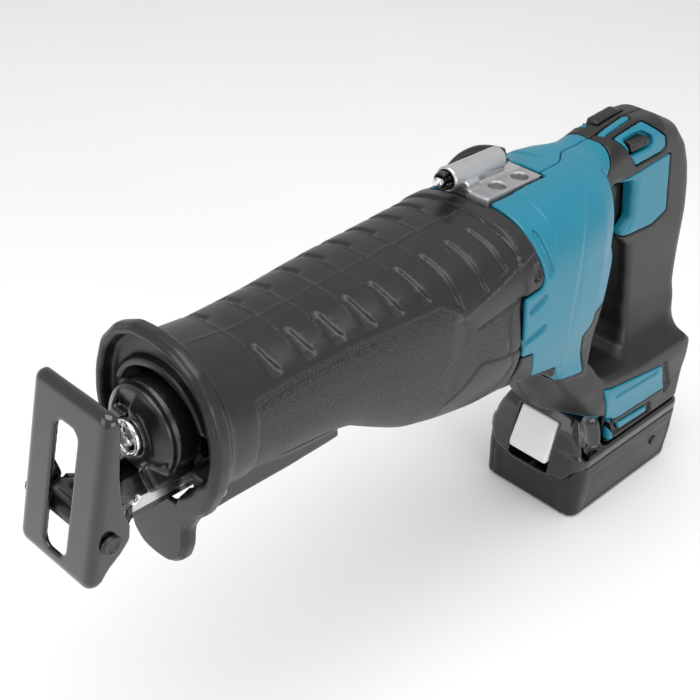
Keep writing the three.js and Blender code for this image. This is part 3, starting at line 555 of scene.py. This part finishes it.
def make_housing():
    space = Space((-60, -49, 44), (161, 49, 261))
    x, y, z = space.x, space.y, space.z
    side = np.abs(y)

    motor = np.maximum(space.loft(MOTOR_SECTIONS, 3), 57 - x)
    side_wall = space.outline([(68, 118), (98, 125.4), (112, 142), (134, 148), (150, 166), (163, 174),
                               (163, 200), (68, 200)], 3)
    motor = soft_min(motor, soft_max(side_wall, side - 37.6, 7), 9)
    # Folded facets on the motor cover: a band round the rear, and a flat behind the boot.
    crown = ease((z - 225) / 12)
    motor += 0.8 * ease((87 + (side - 22) * 1.15 - x) / 2.2) * ease((250 - z) / 4) * ease((x - 60) / 10)
    motor += 0.55 * ease((x - 130.5) / 1.5) * ease((z - 226) / 4)
    notch = line_distance([(143.5, 236), (140, 222), (138, 216.8)], x, z) - 1.3
    motor += 2.0 * ease((1.4 - notch) / 1.4)
    for low, high in (((152, 200), (142, 203.5)), ((152, 181), (138, 184))):
        bar = line_distance([low, high], x, z) - 1.4
        motor += 1.8 * ease((1.3 - bar) / 1.3)
    pit = outline_distance([(90, -30), (101, -30), (101, -11.5), (92, -10), (90, -4)], x, y)
    motor += 0.9 * ease((0.6 - pit) / 1.2) * crown

    grip_half = 17.6 + 1.0 * ease((z - 195) / 40) - 0.8 * around(z - 150, 22)
    handle = space.outline(HANDLE, 3.5)
    handle = soft_max(handle, side - grip_half, 13)
    foot_half = 36.4 - 3 * ease((z - 100) / 24)
    foot = space.outline(FOOT, 1.6)
    foot = soft_max(foot, side - foot_half, 5)
    nose = x - (60.6 + 0.95 * np.maximum(z - 76, 0)) + 0.011 * y * y
    foot = soft_max(foot, nose, 5)
    rear_corner = np.hypot(np.maximum(-x - 47, 0), np.maximum(side - foot_half + 10, 0)) - 10
    foot = soft_max(foot, rear_corner, 1)
    shoulder_half = 33 - 15 * ease((z - 84) / 34)
    shoulder = soft_max(space.outline([(-51, 80), (-50.5, 118), (4, 121), (50, 116), (57, 104),
                                       (48, 84)], 6), side - shoulder_half, 22)
    fingers = soft_max(space.outline(FINGERS, 3), side - 40, 1)
    body = soft_min(handle, foot, 10)
    body = soft_min(body, shoulder, 14)
    body = soft_max(body, -fingers, 7)
    body = soft_min(body, motor, 3)
    body = soft_max(body, -fingers - 0.5, 4)
    body = soft_max(body, -57.2 - x, 1.5)

    # Which parts of the surface are hard teal plastic and which are soft black grip.
    teal = space.outline(TEAL_SIDE, 1.0)
    ring_arc = 55 + 0.011 * y * y - x
    teal = np.maximum(teal, ring_arc - 3)
    grip_panel = np.maximum(space.outline(GRIP_PANEL, 2.0), 6 - side)
    lock = np.maximum(space.outline(LOCK_SURROUND, 1.6), 9.5 - side)
    strip = np.maximum(space.outline(REAR_STRIP, 1.0), side - 12)
    strip = np.maximum(strip, 2.2 - side)
    slit = np.maximum(outline_distance([(47.8, 0.9), (46.7, 5.6), (22, 4.9), (20, 2), (22.5, -0.6)],
                                       x, y), 240 - z)
    label = np.maximum(space.outline(LABEL, 0.8), 20 - side)
    bar = np.maximum(space.outline(SMALL_BAR, 0.8), 30 - side)
    bracket = np.maximum(space.outline(CORNER_BRACKET, 0.6), 30 - side)
    brim = line_distance([(28.8, 67.5), (47, 75.4), (64, 76)], x, z) - 2.0
    for part in (grip_panel, lock, strip, slit, label, bar, bracket, brim):
        teal = np.minimum(teal, part)

    # Relief that only one colour carries.
    recess = space.outline(SMALL_RECESS, 1.0)
    body += 2.2 * ease((0.8 - recess) / 1.6) * (side > 30) * ease((bar + 0.4) / 0.8)
    body += 1.1 * ease((0.7 - space.outline(LABEL_SLOT, 0.6)) / 1.2) * (side > 20)
    lock_room = soft_max(space.outline([(40, 251.5), (23, 252.4), (14.5, 248), (14.2, 242.3),
                                        (35, 242)], 1.2), 13 - side, 1)
    body = soft_max(body, -lock_room, 1.2)
    body += 0.45 * ease((0.6 - lock) / 1.2)
    body -= 0.5 * ease((0.6 - label) / 1.2)
    shadow_slot = outline_distance([(-33, 60), (-38, 64), (-24, 88), (-18, 91)], x, z)
    body += 2.0 * ease((1.2 - shadow_slot) / 2.0) * (side > 20)

    # Rooms inside, and the openings for the controls, the battery rails and the screws.
    wall = body + 3.0
    motor_room = motor + 2.6
    hollow = np.minimum(wall, np.maximum(motor_room, 59 - x))
    body = soft_max(body, -hollow, 0.8)
    body = np.maximum(body, -np.maximum(motor_room, 128 - x))
    body = soft_max(body, -space.box(-3, 46, -9.6, 9.6, 181, 221.5), 0.8)
    barrel = away(x - LOCK_AXIS[0], z - LOCK_AXIS[1]) - 7
    body = np.maximum(body, -np.maximum(barrel, side - 14.3))
    body = soft_max(body, -space.box(15.2, 40.8, -13.3, -3.7, 249.4, 262), 0.8)
    body = soft_max(body, -space.box(29.2, 64, -34.6, 34.6, 44, 74.8), 0.8)
    body = np.maximum(body, -space.box(-51.6, 90, -28, 28, 50, 66.2))
    body = np.maximum(body, -space.box(-51.6, 90, -24.4, 24.4, 40, 53.2))
    body = np.maximum(body, -space.box(-51.6, 27.6, -31, 31, 40, 50))
    body = np.maximum(body, -space.box(103.6, 150, -26, 9.4, 236, 262))
    body = soft_max(body, 0.6 - space.outline(BOOT_REAR, 1.5), 0.8)
    for screw_x, screw_z in SCREWS:
        hole = away(x - screw_x, z - screw_z) - 4.4
        body = soft_max(body, -np.maximum(hole, y + 12), 0.8)

    jog = -1.9 + 6.7 * ease((x - 74) / 14)
    seam = np.where((z > 225) & (x > 48), y - jog * ease((x - 48) / 10), y)
    for name, keep, cad in (("left", -seam, "left"), ("right", seam, "right")):
        for tone, region in (("teal", teal), ("soft", -teal)):
            part = soft_max(body, region + GAP, 0.9)
            part = soft_max(part, keep + GAP * 0.7, 0.7)
            if tone == "teal":
                item = space.mesh("housing_" + name, part, "teal")
                thin(item, 150000)
                settle(item, "tool", ["clamshell_" + cad])
            else:
                item = space.mesh("grip_" + name, part, "soft")
                thin(item, 150000)
                settle(item, "tool", ["overmould_" + cad])


# ---------------------------------------------------------------- the battery
def rounded_plan(space, half_x, half_y, corner):
    u = np.abs(space.x) - (half_x - corner)
    v = np.abs(space.y) - (half_y - corner)
    return cornered(u, v) - corner


def make_battery():
    space = Space((-60, -40, -2), (62, 40, 76))
    x, y, z = space.x, space.y, space.z
    side = np.abs(y)

    taper = 1.3 * ease((26 - z) / 26)
    plan = rounded_plan(space, 57, 37.4, 9) + taper
    # The lower case meets the cover along a level line that dips across the front.
    dip = 27 + 2.5 * ease((side - 8) / 15) + 10 * ease((side - 25) / 10)
    top_line = 39.5 + (dip - 39.5) * ease((x - 47) / 5)
    split = z - top_line
    bottom = soft_max(plan, -z, 2.5)
    lower = soft_max(bottom, split + 0.3, 1.2)
    front_panel = soft_max(np.abs(y) - 24, np.abs(z - 13) - 10, 3)
    lower += 0.5 * ease((0.6 - front_panel) / 1.2) * (x > 50)
    for corner_y in (-29.5, 29.5):
        lower += 0.7 * around(y - corner_y, 0.8) * (x > 50)
    side_panel = soft_max(np.abs(x + 2) - 46, np.abs(z - 17) - 13.5, 4)
    lower += 0.45 * ease((0.7 - side_panel) / 1.4) * (side > 32)
    rear_vents = np.abs(np.mod(z, 4.4) - 2.2) - 0.8
    lower += 1.4 * ease((0.8 - rear_vents) / 1.4) * (side < 22) * (z > 5) * (z < 27) * (x < -50)
    lower = soft_max(lower, -soft_max(plan + 2.4, 2.2 - z, 1), 0.8)
    lower = np.maximum(lower, -space.box(48, 64, -15.4, 15.4, 29.5, 44))
    barrel = away(x - CHECK_AXIS[0], z - CHECK_AXIS[1])
    lower = np.maximum(lower, -np.maximum(barrel - 3.2, 20 - y))
    item = space.mesh("battery_case", lower, "charcoal")
    thin(item, 120000)
    settle(item, "battery", ["battery_lower_case"])

    # The cover: a deck, the two rails, and the hump with scooped sides in front of them.
    cover = soft_max(soft_max(plan, 0.3 - split, 0.6), z - 46.4, 3)
    neck = soft_max(np.abs(x + 8.5) - 41.5, np.maximum(side - 23.3, np.abs(z - 49) - 5), 0.6)
    head = soft_max(np.abs(x + 8.5) - 41.5, np.maximum(side - 26.9, np.abs(z - 54.8) - 2.2), 1)
    hump_top = 73.2 - 0.003 * y * y - 8.5 * ease((x - 50) / 8)
    half = 34.5 - 4.5 * ease((z - 50) / 20)
    scoop = 4.5 * around(x - 43, 8) * ease((z - 42) / 6) * ease((74 - z) / 8)
    hump = soft_max(side - half + scoop, z - hump_top, 9)
    nose = 61 - 0.16 * (z - 40) - 0.0028 * y * y
    hump = soft_max(hump, soft_max(30.7 - x, x - nose, 2), 5)
    hump = np.maximum(hump, 0.3 - split)
    cover = soft_min(cover, hump, 4)
    cover = np.minimum(np.minimum(cover, neck), head)
    for px, py in ((49.5, 32.2), (49.5, -32.2)):
        pit = away(x - px, y - py) - 3.6
        cover = soft_max(cover, -np.maximum(pit, 37.5 - z), 1)
    for slot_y in (-14, -4.6, 4.6, 14):
        cover = np.maximum(cover, -space.box(-30, 34, slot_y - 0.9, slot_y + 0.9, 52, 60))
    room = np.maximum(soft_max(plan + 2.6, z - 43.6, 1), 26 - z)
    cover = np.maximum(cover, -np.maximum(room, x - 50))
    cover = np.maximum(cover, -space.box(34, 47.5, -14, 14, 40, 60))
    cover = soft_max(cover, -space.box(49.2, 70, -15.2, 15.2, 29, 65.4), 0.8)
    item = space.mesh("battery_cover", cover, "gloss")
    thin(item, 120000)
    settle(item, "battery", ["battery_upper_case"])

    # The white release button with its folded lower lip.
    space = Space((48, -17, 32), (66, 17, 68))
    x, y, z = space.x, space.y, space.z
    face = space.outline([(50.9, 36.4), (50.9, 65), (54.8, 65), (60.2, 50), (63.6, 41),
                          (63.6, 36.2)], 1.2)
    button = soft_max(face, np.abs(y) - 14.5, 1.6)
    shell = soft_max(face + 1.6, np.abs(y) - 12.7, 1)
    button = np.maximum(button, -np.maximum(shell, z - 41))
    item = space.mesh("battery_release", button, "white")
    settle(item, "battery_button", ["battery_button"])

    space = Space((-35, 34, 17), (-25, 39.5, 27))
    x, y, z = space.x, space.y, space.z
    disc = away(x - CHECK_AXIS[0], z - CHECK_AXIS[1])
    cap = soft_max(disc - 2.8, np.maximum(y - 38.1 + 0.03 * disc ** 2, 35.8 - y), 0.8)
    cap = np.minimum(cap, away(disc - 1.4, y - 38) - 0.35)
    item = space.mesh("charge_check", cap, "charcoal")
    settle(item, "check_button", ["battery_check_button"])


# ---------------------------------------------------------------- front end
def make_shoe():
    space = Space((388, -29, 153), (418, 29, 245))
    x, y, z = space.x, space.y, space.z
    lean = math.radians(SHOE_LEAN)
    rivet_x, rivet_z = RIVET
    # u runs out of the plate's face, w up the plate, both from the rivet.
    u = (x - rivet_x) * math.cos(lean) + (z - rivet_z) * math.sin(lean)
    w = (z - rivet_z) * math.cos(lean) - (x - rivet_x) * math.sin(lean)
    side = np.abs(y)

    def rounded(half_y, low, high, corner):
        a = side - (half_y - corner)
        b = np.abs(w - (low + high) / 2) - ((high - low) / 2 - corner)
        return cornered(a, b) - corner

    outside = soft_max(rounded(25.1, -23.4, 60.2, 5.5), u - 7.8, 5.0)
    inside = soft_max(rounded(22.5, -20.8, 57.6, 3.5), u - 5.1, 3.0)
    web = outline_distance([(9, 62), (2.4, 60.2), (0.4, 52), (-1.6, 32), (-5, 15), (-10.5, 5),
                            (-11, -2), (-7, -8), (-1.5, -14), (2.2, -21), (9, -26)], u, w)
    web = blurred(web.astype(np.float32), 1.6, (0, 2))
    shoe = soft_max(outside, web, 0.8)
    shoe = np.maximum(shoe, -inside)
    shoe = soft_max(shoe, -rounded(7.6, -16, 45, 5.0), 1.2)
    shoe = np.maximum(shoe, 2.7 - away(x - rivet_x, z - rivet_z))
    settle(space.mesh("shoe", shoe, "black_steel"), "shoe", ["shoe_plate"])

    space = Space((394, -29, 172), (410, 29, 188))
    x, y, z = space.x, space.y, space.z
    disc = away(x - rivet_x, z - rivet_z)
    side = np.abs(y)
    head = soft_max(disc - 4.9, np.abs(side - 26.5) - 1.4, 1.2)
    head = soft_max(head, -np.maximum(disc - 2.6, 27.2 - side), 0.8)
    pin = np.minimum(np.maximum(disc - 2.3, side - 26), head)
    settle(space.mesh("rivet", pin, "satin_black"), "shoe_bar", ["shoe_rivet"])


def make_bar():
    space = Space((258, -24, 170), (409, 24, 191))
    x, y, z = space.x, space.y, space.z
    side = np.abs(y)
    half = 13 + 8.6 * ease((x - 380) / 13)
    plate = soft_max(np.maximum(262 - x, x - 398.5), side - half, 3)
    plate = soft_max(plate, np.abs(z - 177.7) - 4.3, 1.2)
    rim = soft_max(np.abs(side - (half - 1.3)) - 1.3, np.maximum(np.abs(z - 180.2) - 3.3, x - 391), 0.8)
    rim = soft_max(rim, 292 - x, 1)
    bar = soft_min(plate, rim, 1)
    from_rivet = away(x - RIVET[0], z - RIVET[1])
    eye = from_rivet - 4.4
    bar = soft_min(bar, soft_max(eye, side - 21.6, 1), 2)
    dish = soft_max(np.abs(x - 386) - 8, side - 15, 4)
    bar = soft_max(bar, -soft_max(dish, 180.6 - z, 3), 1.2)
    bar = soft_max(bar, -np.maximum(soft_max(np.abs(x - 335) - 50, side - 9.5, 3), 180 - z), 1)
    ridge = line_distance([(370, -11), (392, 14)], x, y) - 0.9
    bar = soft_min(bar, soft_max(ridge, np.abs(z - 181.4) - 2.4, 1), 1.2)
    bar = np.maximum(bar, 2.6 - from_rivet)
    for i in range(4):
        bar = np.maximum(bar, -space.box(296 + i * 10, 299 + i * 10, -5, 5, 168, 175))
    # The guide is bright zinc; the dark finish on its lower walls below Z 177 is painted shade, and the
    # same dark finish also covers the front end past X 390 and the half with Y below -3.
    item = space.mesh("shoe_guide", bar, "zinc",
                      ("satin_black", lambda px, py, pz: (px > 390) | (pz < 177) | (py < -3)))
    settle(item, "shoe_bar", ["shoe_bar"])


def make_clamp():
    space = Space((347, -30, 178), (378, 30, 231))
    x, y, z = space.x, space.y, space.z
    up = z - BLADE_Z
    ring = away(y, up)
    barrel = soft_max(ring - 22, np.maximum(350 - x, x - 362.4), 1.4)
    cone = ring - (21.3 - 5.5 * ease((x - 365) / 6.4))
    nose = soft_max(cone, np.maximum(350 - x, x - 371.4), 2.6)
    sleeve = soft_min(barrel, nose, 0.5)
    # The thumb tab and its ridge point down and to the left.
    out = (y - up) * math.sqrt(0.5)
    across = (y + up) * math.sqrt(0.5)
    tab = soft_max(np.abs(across) - 3.6, np.maximum(out - 25.6, 14 - out), 2.2)
    tab = soft_max(tab, np.maximum(351.5 - x, x - 374.6), 2)
    sleeve = soft_min(sleeve, tab, 2)
    scoop = soft_max(np.abs(across - 8.4) - 2.6, np.maximum(17.5 - out, 366.5 - x), 1.5)
    sleeve = soft_max(sleeve, -scoop, 1.2)
    gate = soft_max(soft_max(np.abs(y + 6) - 5.5, 9 - up, 1.5), 367 - x, 1)
    sleeve = soft_max(sleeve, -gate, 1)
    bore = 12.7 - 3.8 * ease((x - 365.2) / 0.6)
    sleeve = soft_max(sleeve, bore - ring, 0.6)
    item = space.mesh("clamp_collar", sleeve, "satin_black")
    settle(item, "clamp_sleeve", ["clamp_sleeve"])

    space = Space((349, -14, 191), (377, 14, 219))
    x, y, z = space.x, space.y, space.z
    up = z - BLADE_Z
    ring = away(y, up)
    body = soft_max(ring - 12, np.maximum(352.3 - x, x - 365), 1)
    lip = soft_max(ring - 8.6, np.maximum(352.3 - x, x - 374), 1.2)
    tube = np.minimum(body, lip)
    tube = soft_max(tube, -soft_max(ring - 6.6, 369.6 - x, 1), 0.8)
    slot = np.maximum(np.maximum(np.abs(y) - 1.3, np.abs(up) - 7.4), 366 - x)
    tube = soft_max(tube, -slot, 0.5)
    tube = np.maximum(tube, -np.maximum(ring - 5.3, x - 370.2))
    settle(space.mesh("blade_socket", tube, "chrome"), "slider", ["blade_holder"])


def make_lever():
    space = Space((264, -29, 162), (353, 29, 186))
    x, y, z = space.x, space.y, space.z
    side = np.abs(y)
    outline = space.outline([(268, 167.4), (269.5, 172.8), (274.5, 174.4), (286, 176.1), (300, 176.2),
                             (310, 177), (322, 179.4), (334, 182.2), (344, 182.4), (349, 178.5),
                             (349, 169), (344, 165.8), (336, 166.2), (300, 166.2)], 1.2)
    flange = soft_max(outline, np.abs(side - 23.2) - 1.6, 1)
    floor = soft_max(np.abs(z - 168.2 + 0.02 * (x - 300)) - 1.5, side - 22.5, 1)
    floor = np.maximum(floor, np.maximum(267.8 - x, x - 334))
    lever = soft_min(flange, floor, 1.8)
    fin = line_distance([(270, 173.6), (300, 175.4), (326, 180)], x, z) - 0.9
    lever = soft_min(lever, soft_max(fin, np.abs(side - 24.2) - 1.3, 0.6), 1)
    lever = np.maximum(lever, 2.7 - away(x - LEVER_PIN[0], z - LEVER_PIN[1]))
    item = space.mesh("shoe_lever", lever, "satin_black")
    settle(item, "lock_lever", ["shoe_lock_lever"])


# ---------------------------------------------------------------- hook
def swept(name, points, radius, material, sides=20, steps=10):
    """Round wire along a smooth path of points in millimetres."""
    curve = bpy.data.curves.new(name, "CURVE")
    curve.dimensions = "3D"
    curve.bevel_depth = radius * MM
    curve.bevel_resolution = sides // 4
    curve.resolution_u = steps
    curve.use_fill_caps = True
    spline = curve.splines.new("BEZIER")
    spline.bezier_points.add(len(points) - 1)
    for knot, point in zip(spline.bezier_points, points):
        knot.co = Vector(point) * MM
        knot.handle_left_type = knot.handle_right_type = "AUTO"
    item = bpy.data.objects.new(name, curve)
    bpy.context.scene.collection.objects.link(item)
    evaluated = item.evaluated_get(bpy.context.evaluated_depsgraph_get())
    mesh = bpy.data.meshes.new_from_object(evaluated)
    bpy.data.objects.remove(item)
    item = bpy.data.objects.new(name, mesh)
    bpy.context.scene.collection.objects.link(item)
    mesh.materials.clear()
    mesh.materials.append(MATERIALS[material])
    for face in mesh.polygons:
        face.use_smooth = True
    return item


def make_hook():
    space = Space((101, -30, 236), (164, 12, 263))
    x, y, z = space.x, space.y, space.z
    tube_y, tube_z = TUBE_AXIS
    tube = away(y - tube_y, z - tube_z)
    barrel = soft_max(tube - 6.5 - 0.35 * ease((x - 156) / 1.5), np.maximum(118 - x, x - 160.2), 1.2)
    plate = soft_max(np.abs(x - 128.2) - 22.8, np.abs(y + 8.6) - 16.4, 2.5)
    plate = soft_max(plate, np.abs(z - 244.4) - 3.7, 0.8)
    cradle = soft_max(np.maximum(np.abs(x - 135) - 15, np.abs(y + 13) - 6.2), np.abs(z - 249) - 4, 1)
    bracket = soft_min(soft_min(plate, cradle, 2.5), barrel, 2)
    step = np.maximum(np.maximum(np.abs(x - 147) - 5, np.abs(y + 6.2) - 1.6), np.abs(z - 250) - 2.2)
    bracket = soft_min(bracket, step, 1)
    bracket = soft_max(bracket, 3.1 - tube, 0.8)
    bracket = soft_max(bracket, -np.maximum(tube - 5.2, 157.5 - x), 0.6)
    bracket = soft_max(bracket, -np.maximum(tube - 5.2, x - 120.5), 0.6)
    for hole_x, hole_y in PLATE_HOLES:
        hole = away(x - hole_x, y - hole_y) - 4.6
        bracket = soft_max(bracket, -np.maximum(hole, 243.2 - z), 1)
    item = space.mesh("hook_mount", bracket, "satin",
                      ("cast", lambda px, py, pz: (pz < 249.5) & (py > -6.0)))
    settle(item, "tool", ["hook_bracket"])

    caps = Space((112, -21, 246), (167, -5, 262))
    cx, cy, cz = caps.x, caps.y, caps.z
    bore = away(cy - tube_y, cz - tube_z)
    ends = np.minimum(np.maximum(cx - 164.2, 158 - cx), np.maximum(cx - 120, 113.8 - cx))
    collar = soft_max(bore - 5, ends, 1)
    cleft = soft_max(np.abs(cy + 9.4) - 1.6, 254.6 - cz, 0.6)
    collar = soft_max(soft_max(collar, -cleft, 0.6), 3.3 - bore, 0.5)
    settle(caps.mesh("hook_bushes", collar, "satin_black"), "hook", ["hook_wire"])
    pins = Space((110, -18, 249), (170, -8, 260))
    cx, cy, cz = pins.x, pins.y, pins.z
    bore = away(cy - tube_y, cz - tube_z)
    pin = soft_max(bore - 2.9, np.maximum(cx - 167.4, 163.2 - cx), 1.2)
    settle(pins.mesh("hook_pin_end", pin, "chrome"), "hook", ["hook_wire"])
    wire = swept("hanging_hook", [
        (163, tube_y, tube_z), (150, tube_y, tube_z), (124, tube_y, tube_z), (116, tube_y, tube_z),
        (111.6, -15.6, 253.7), (110.3, -24, 252.4), (111, -36, 247), (112, -47, 235), (113, -55, 216),
        (114, HOOK_SIDE, 197), (119, HOOK_SIDE, 172), (130, HOOK_SIDE, 163.3),
        (150, HOOK_SIDE, 163), (180, HOOK_SIDE, 163),
    ], WIRE_RADIUS, "satin_black", 24, 14)
    settle(wire, "hook", ["hook_wire"])


# ---------------------------------------------------------------- controls
def make_controls():
    space = Space((2, -11, 180), (37, 11, 223))
    x, y, z = space.x, space.y, space.z
    shape = space.outline([(5, 184.4), (22, 184.2), (29.5, 187.6), (33.6, 196), (34.2, 206), (32, 213.5),
                           (34.4, 220), (5, 220)], 2)
    curve = 2.0 * ease((np.abs(y) - 3) / 6) * ease((x - 20) / 10)
    body = soft_max(shape + curve, np.abs(y) - 8.7, 3)
    body = body + 0.45 * around(np.abs(z - 216.5), 0.7)
    body = np.maximum(body, -space.box(0, 12, -7, 7, 186, 218))
    settle(space.mesh("trigger_blade", body, "charcoal"), "trigger", ["trigger"])

    space = Space((14, -22, 235), (41, 22, 253))
    x, y, z = space.x, space.y, space.z
    side = np.abs(y)
    lock_x, lock_z = LOCK_AXIS
    bar = cornered(np.abs(x - lock_x) - 5.2, np.abs(z - lock_z) - 3.4)
    bar = soft_max(bar - 0.7, side - 10.9, 0.8)
    plate = space.outline([(38, 250.3), (24, 250.9), (16.4, 247.2), (16.2, 243.6), (34.4, 243.4)], 0.8)
    plate = np.where(y < 0, np.maximum(plate, z - 248.9), plate)
    bar = soft_min(bar, soft_max(plate, np.abs(side - 13.7) - 3.5, 0.8), 0.5)
    for ridge in (-6.4, -3.2, 0, 3.2, 6.4):
        knurl = away(x - lock_x - ridge, side - 17.2) - 0.75
        bar = soft_min(bar, np.maximum(knurl, np.abs(z - 246.9) - 2.4), 0.5)
    item = space.mesh("lock_off_slide", bar, "charcoal")
    settle(item, "lock_off_button", ["lock_off_button"])

    space = Space((14, -15, 249), (42, -2, 260))
    x, y, z = space.x, space.y, space.z
    top = 257.6 - 0.09 * np.maximum(x - 20, 0)
    key_x, key_y = KEY_CENTRE
    key = soft_max(np.abs(x - key_x) - 12, np.abs(y - key_y) - 4, 2.5)
    key = soft_max(key, np.maximum(z - top, 251 - z), 1.2)
    for ridge in (-7.5, -4.5, -1.5, 1.5, 4.5, 7.5):
        bead = away(x - key_x - ridge, z - top) - 0.6
        key = soft_min(key, np.maximum(bead, np.abs(y - key_y) - 2.6), 0.5)
    settle(space.mesh("mode_key", key, "charcoal"), "mode_button", ["mode_button"])


make_boot()
make_housing()
make_battery()
make_shoe()
make_bar()
make_clamp()
make_lever()
make_hook()
make_controls()

# ---------------------------------------------------------------- CAD nodes that stay as they are
CARRIED = {
    "cast": ["gear_housing"],
    "steel": ["housing_screw_1", "housing_screw_2", "housing_screw_3", "housing_screw_4",
              "housing_screw_5", "rotor_shaft", "rotor_core", "rear_motor_bearing",
              "front_motor_bearing", "drive_gear", "gear_bearing", "slider", "latch_spring",
              "lever_pin_left", "lever_pin_right"],
    "charcoal": ["cooling_fan", "trigger_switch", "motor_controller", "terminal_block"],
    "winding": ["stator"],
    "board": ["sensor_board", "battery_board"],
    "bronze": ["rear_slider_bush", "front_slider_bush"],
    "boot": ["slider_seal"],
    "cell": [f"cell_{row}_{place}" for row in (1, 2) for place in range(1, 6)],
}
for finish, names in CARRIED.items():
    for name in names:
        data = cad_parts[name].data
        data.materials.clear()
        data.materials.append(MATERIALS[finish])


# ---------------------------------------------------------------- floor, light and camera
def add_light(name, place, target, width, height, watts):
    data = bpy.data.lights.new(name, "AREA")
    data.shape = "RECTANGLE"
    data.size, data.size_y, data.energy = width, height, watts
    item = bpy.data.objects.new(name, data)
    bpy.context.scene.collection.objects.link(item)
    aim = Vector(target) - Vector(place)
    item.matrix_world = Matrix.Translation(place) @ aim.to_track_quat("-Z", "Y").to_matrix().to_4x4()


floor_mesh = bpy.data.meshes.new("floor")
floor_form = bmesh.new()
bmesh.ops.create_grid(floor_form, x_segments=2, y_segments=2, size=6)
floor_form.to_mesh(floor_mesh)
floor_form.free()
floor = bpy.data.objects.new("floor", floor_mesh)
floor.location = (0.15, 0, -0.0005)
bpy.context.scene.collection.objects.link(floor)
floor_mesh.materials.append(make_material("floor_paper", (0.93, 0.93, 0.93, 1), 0.9, vary=0.01,
                                          vary_scale=4, specular=0.1))

world = bpy.data.worlds.new("studio")
bpy.context.scene.world = world
world.use_nodes = True
world.node_tree.nodes["Background"].inputs["Color"].default_value = (1, 1, 1, 1)
world.node_tree.nodes["Background"].inputs["Strength"].default_value = 0.66

CENTRE = (0.18, 0.0, 0.15)
add_light("key", (0.35, 0.15, 1.3), CENTRE, 1.2, 0.9, 10)
add_light("left_panel", (0.25, 1.3, 0.5), CENTRE, 0.9, 0.7, 5)
add_light("front_panel", (1.3, -0.2, 0.5), CENTRE, 0.6, 0.8, 2.2)

camera_data = bpy.data.cameras.new("camera")
camera_data.sensor_width = 36
camera_data.lens = 66.6
camera = bpy.data.objects.new("camera", camera_data)
camera.matrix_world = Matrix((
    (-0.6970, -0.3584, 0.6211, 0.6311),
    (0.7148, -0.4163, 0.5620, 0.3562),
    (0.0571, 0.8356, 0.5463, 0.5370),
    (0, 0, 0, 1),
))
bpy.context.scene.collection.objects.link(camera)
bpy.context.scene.camera = camera
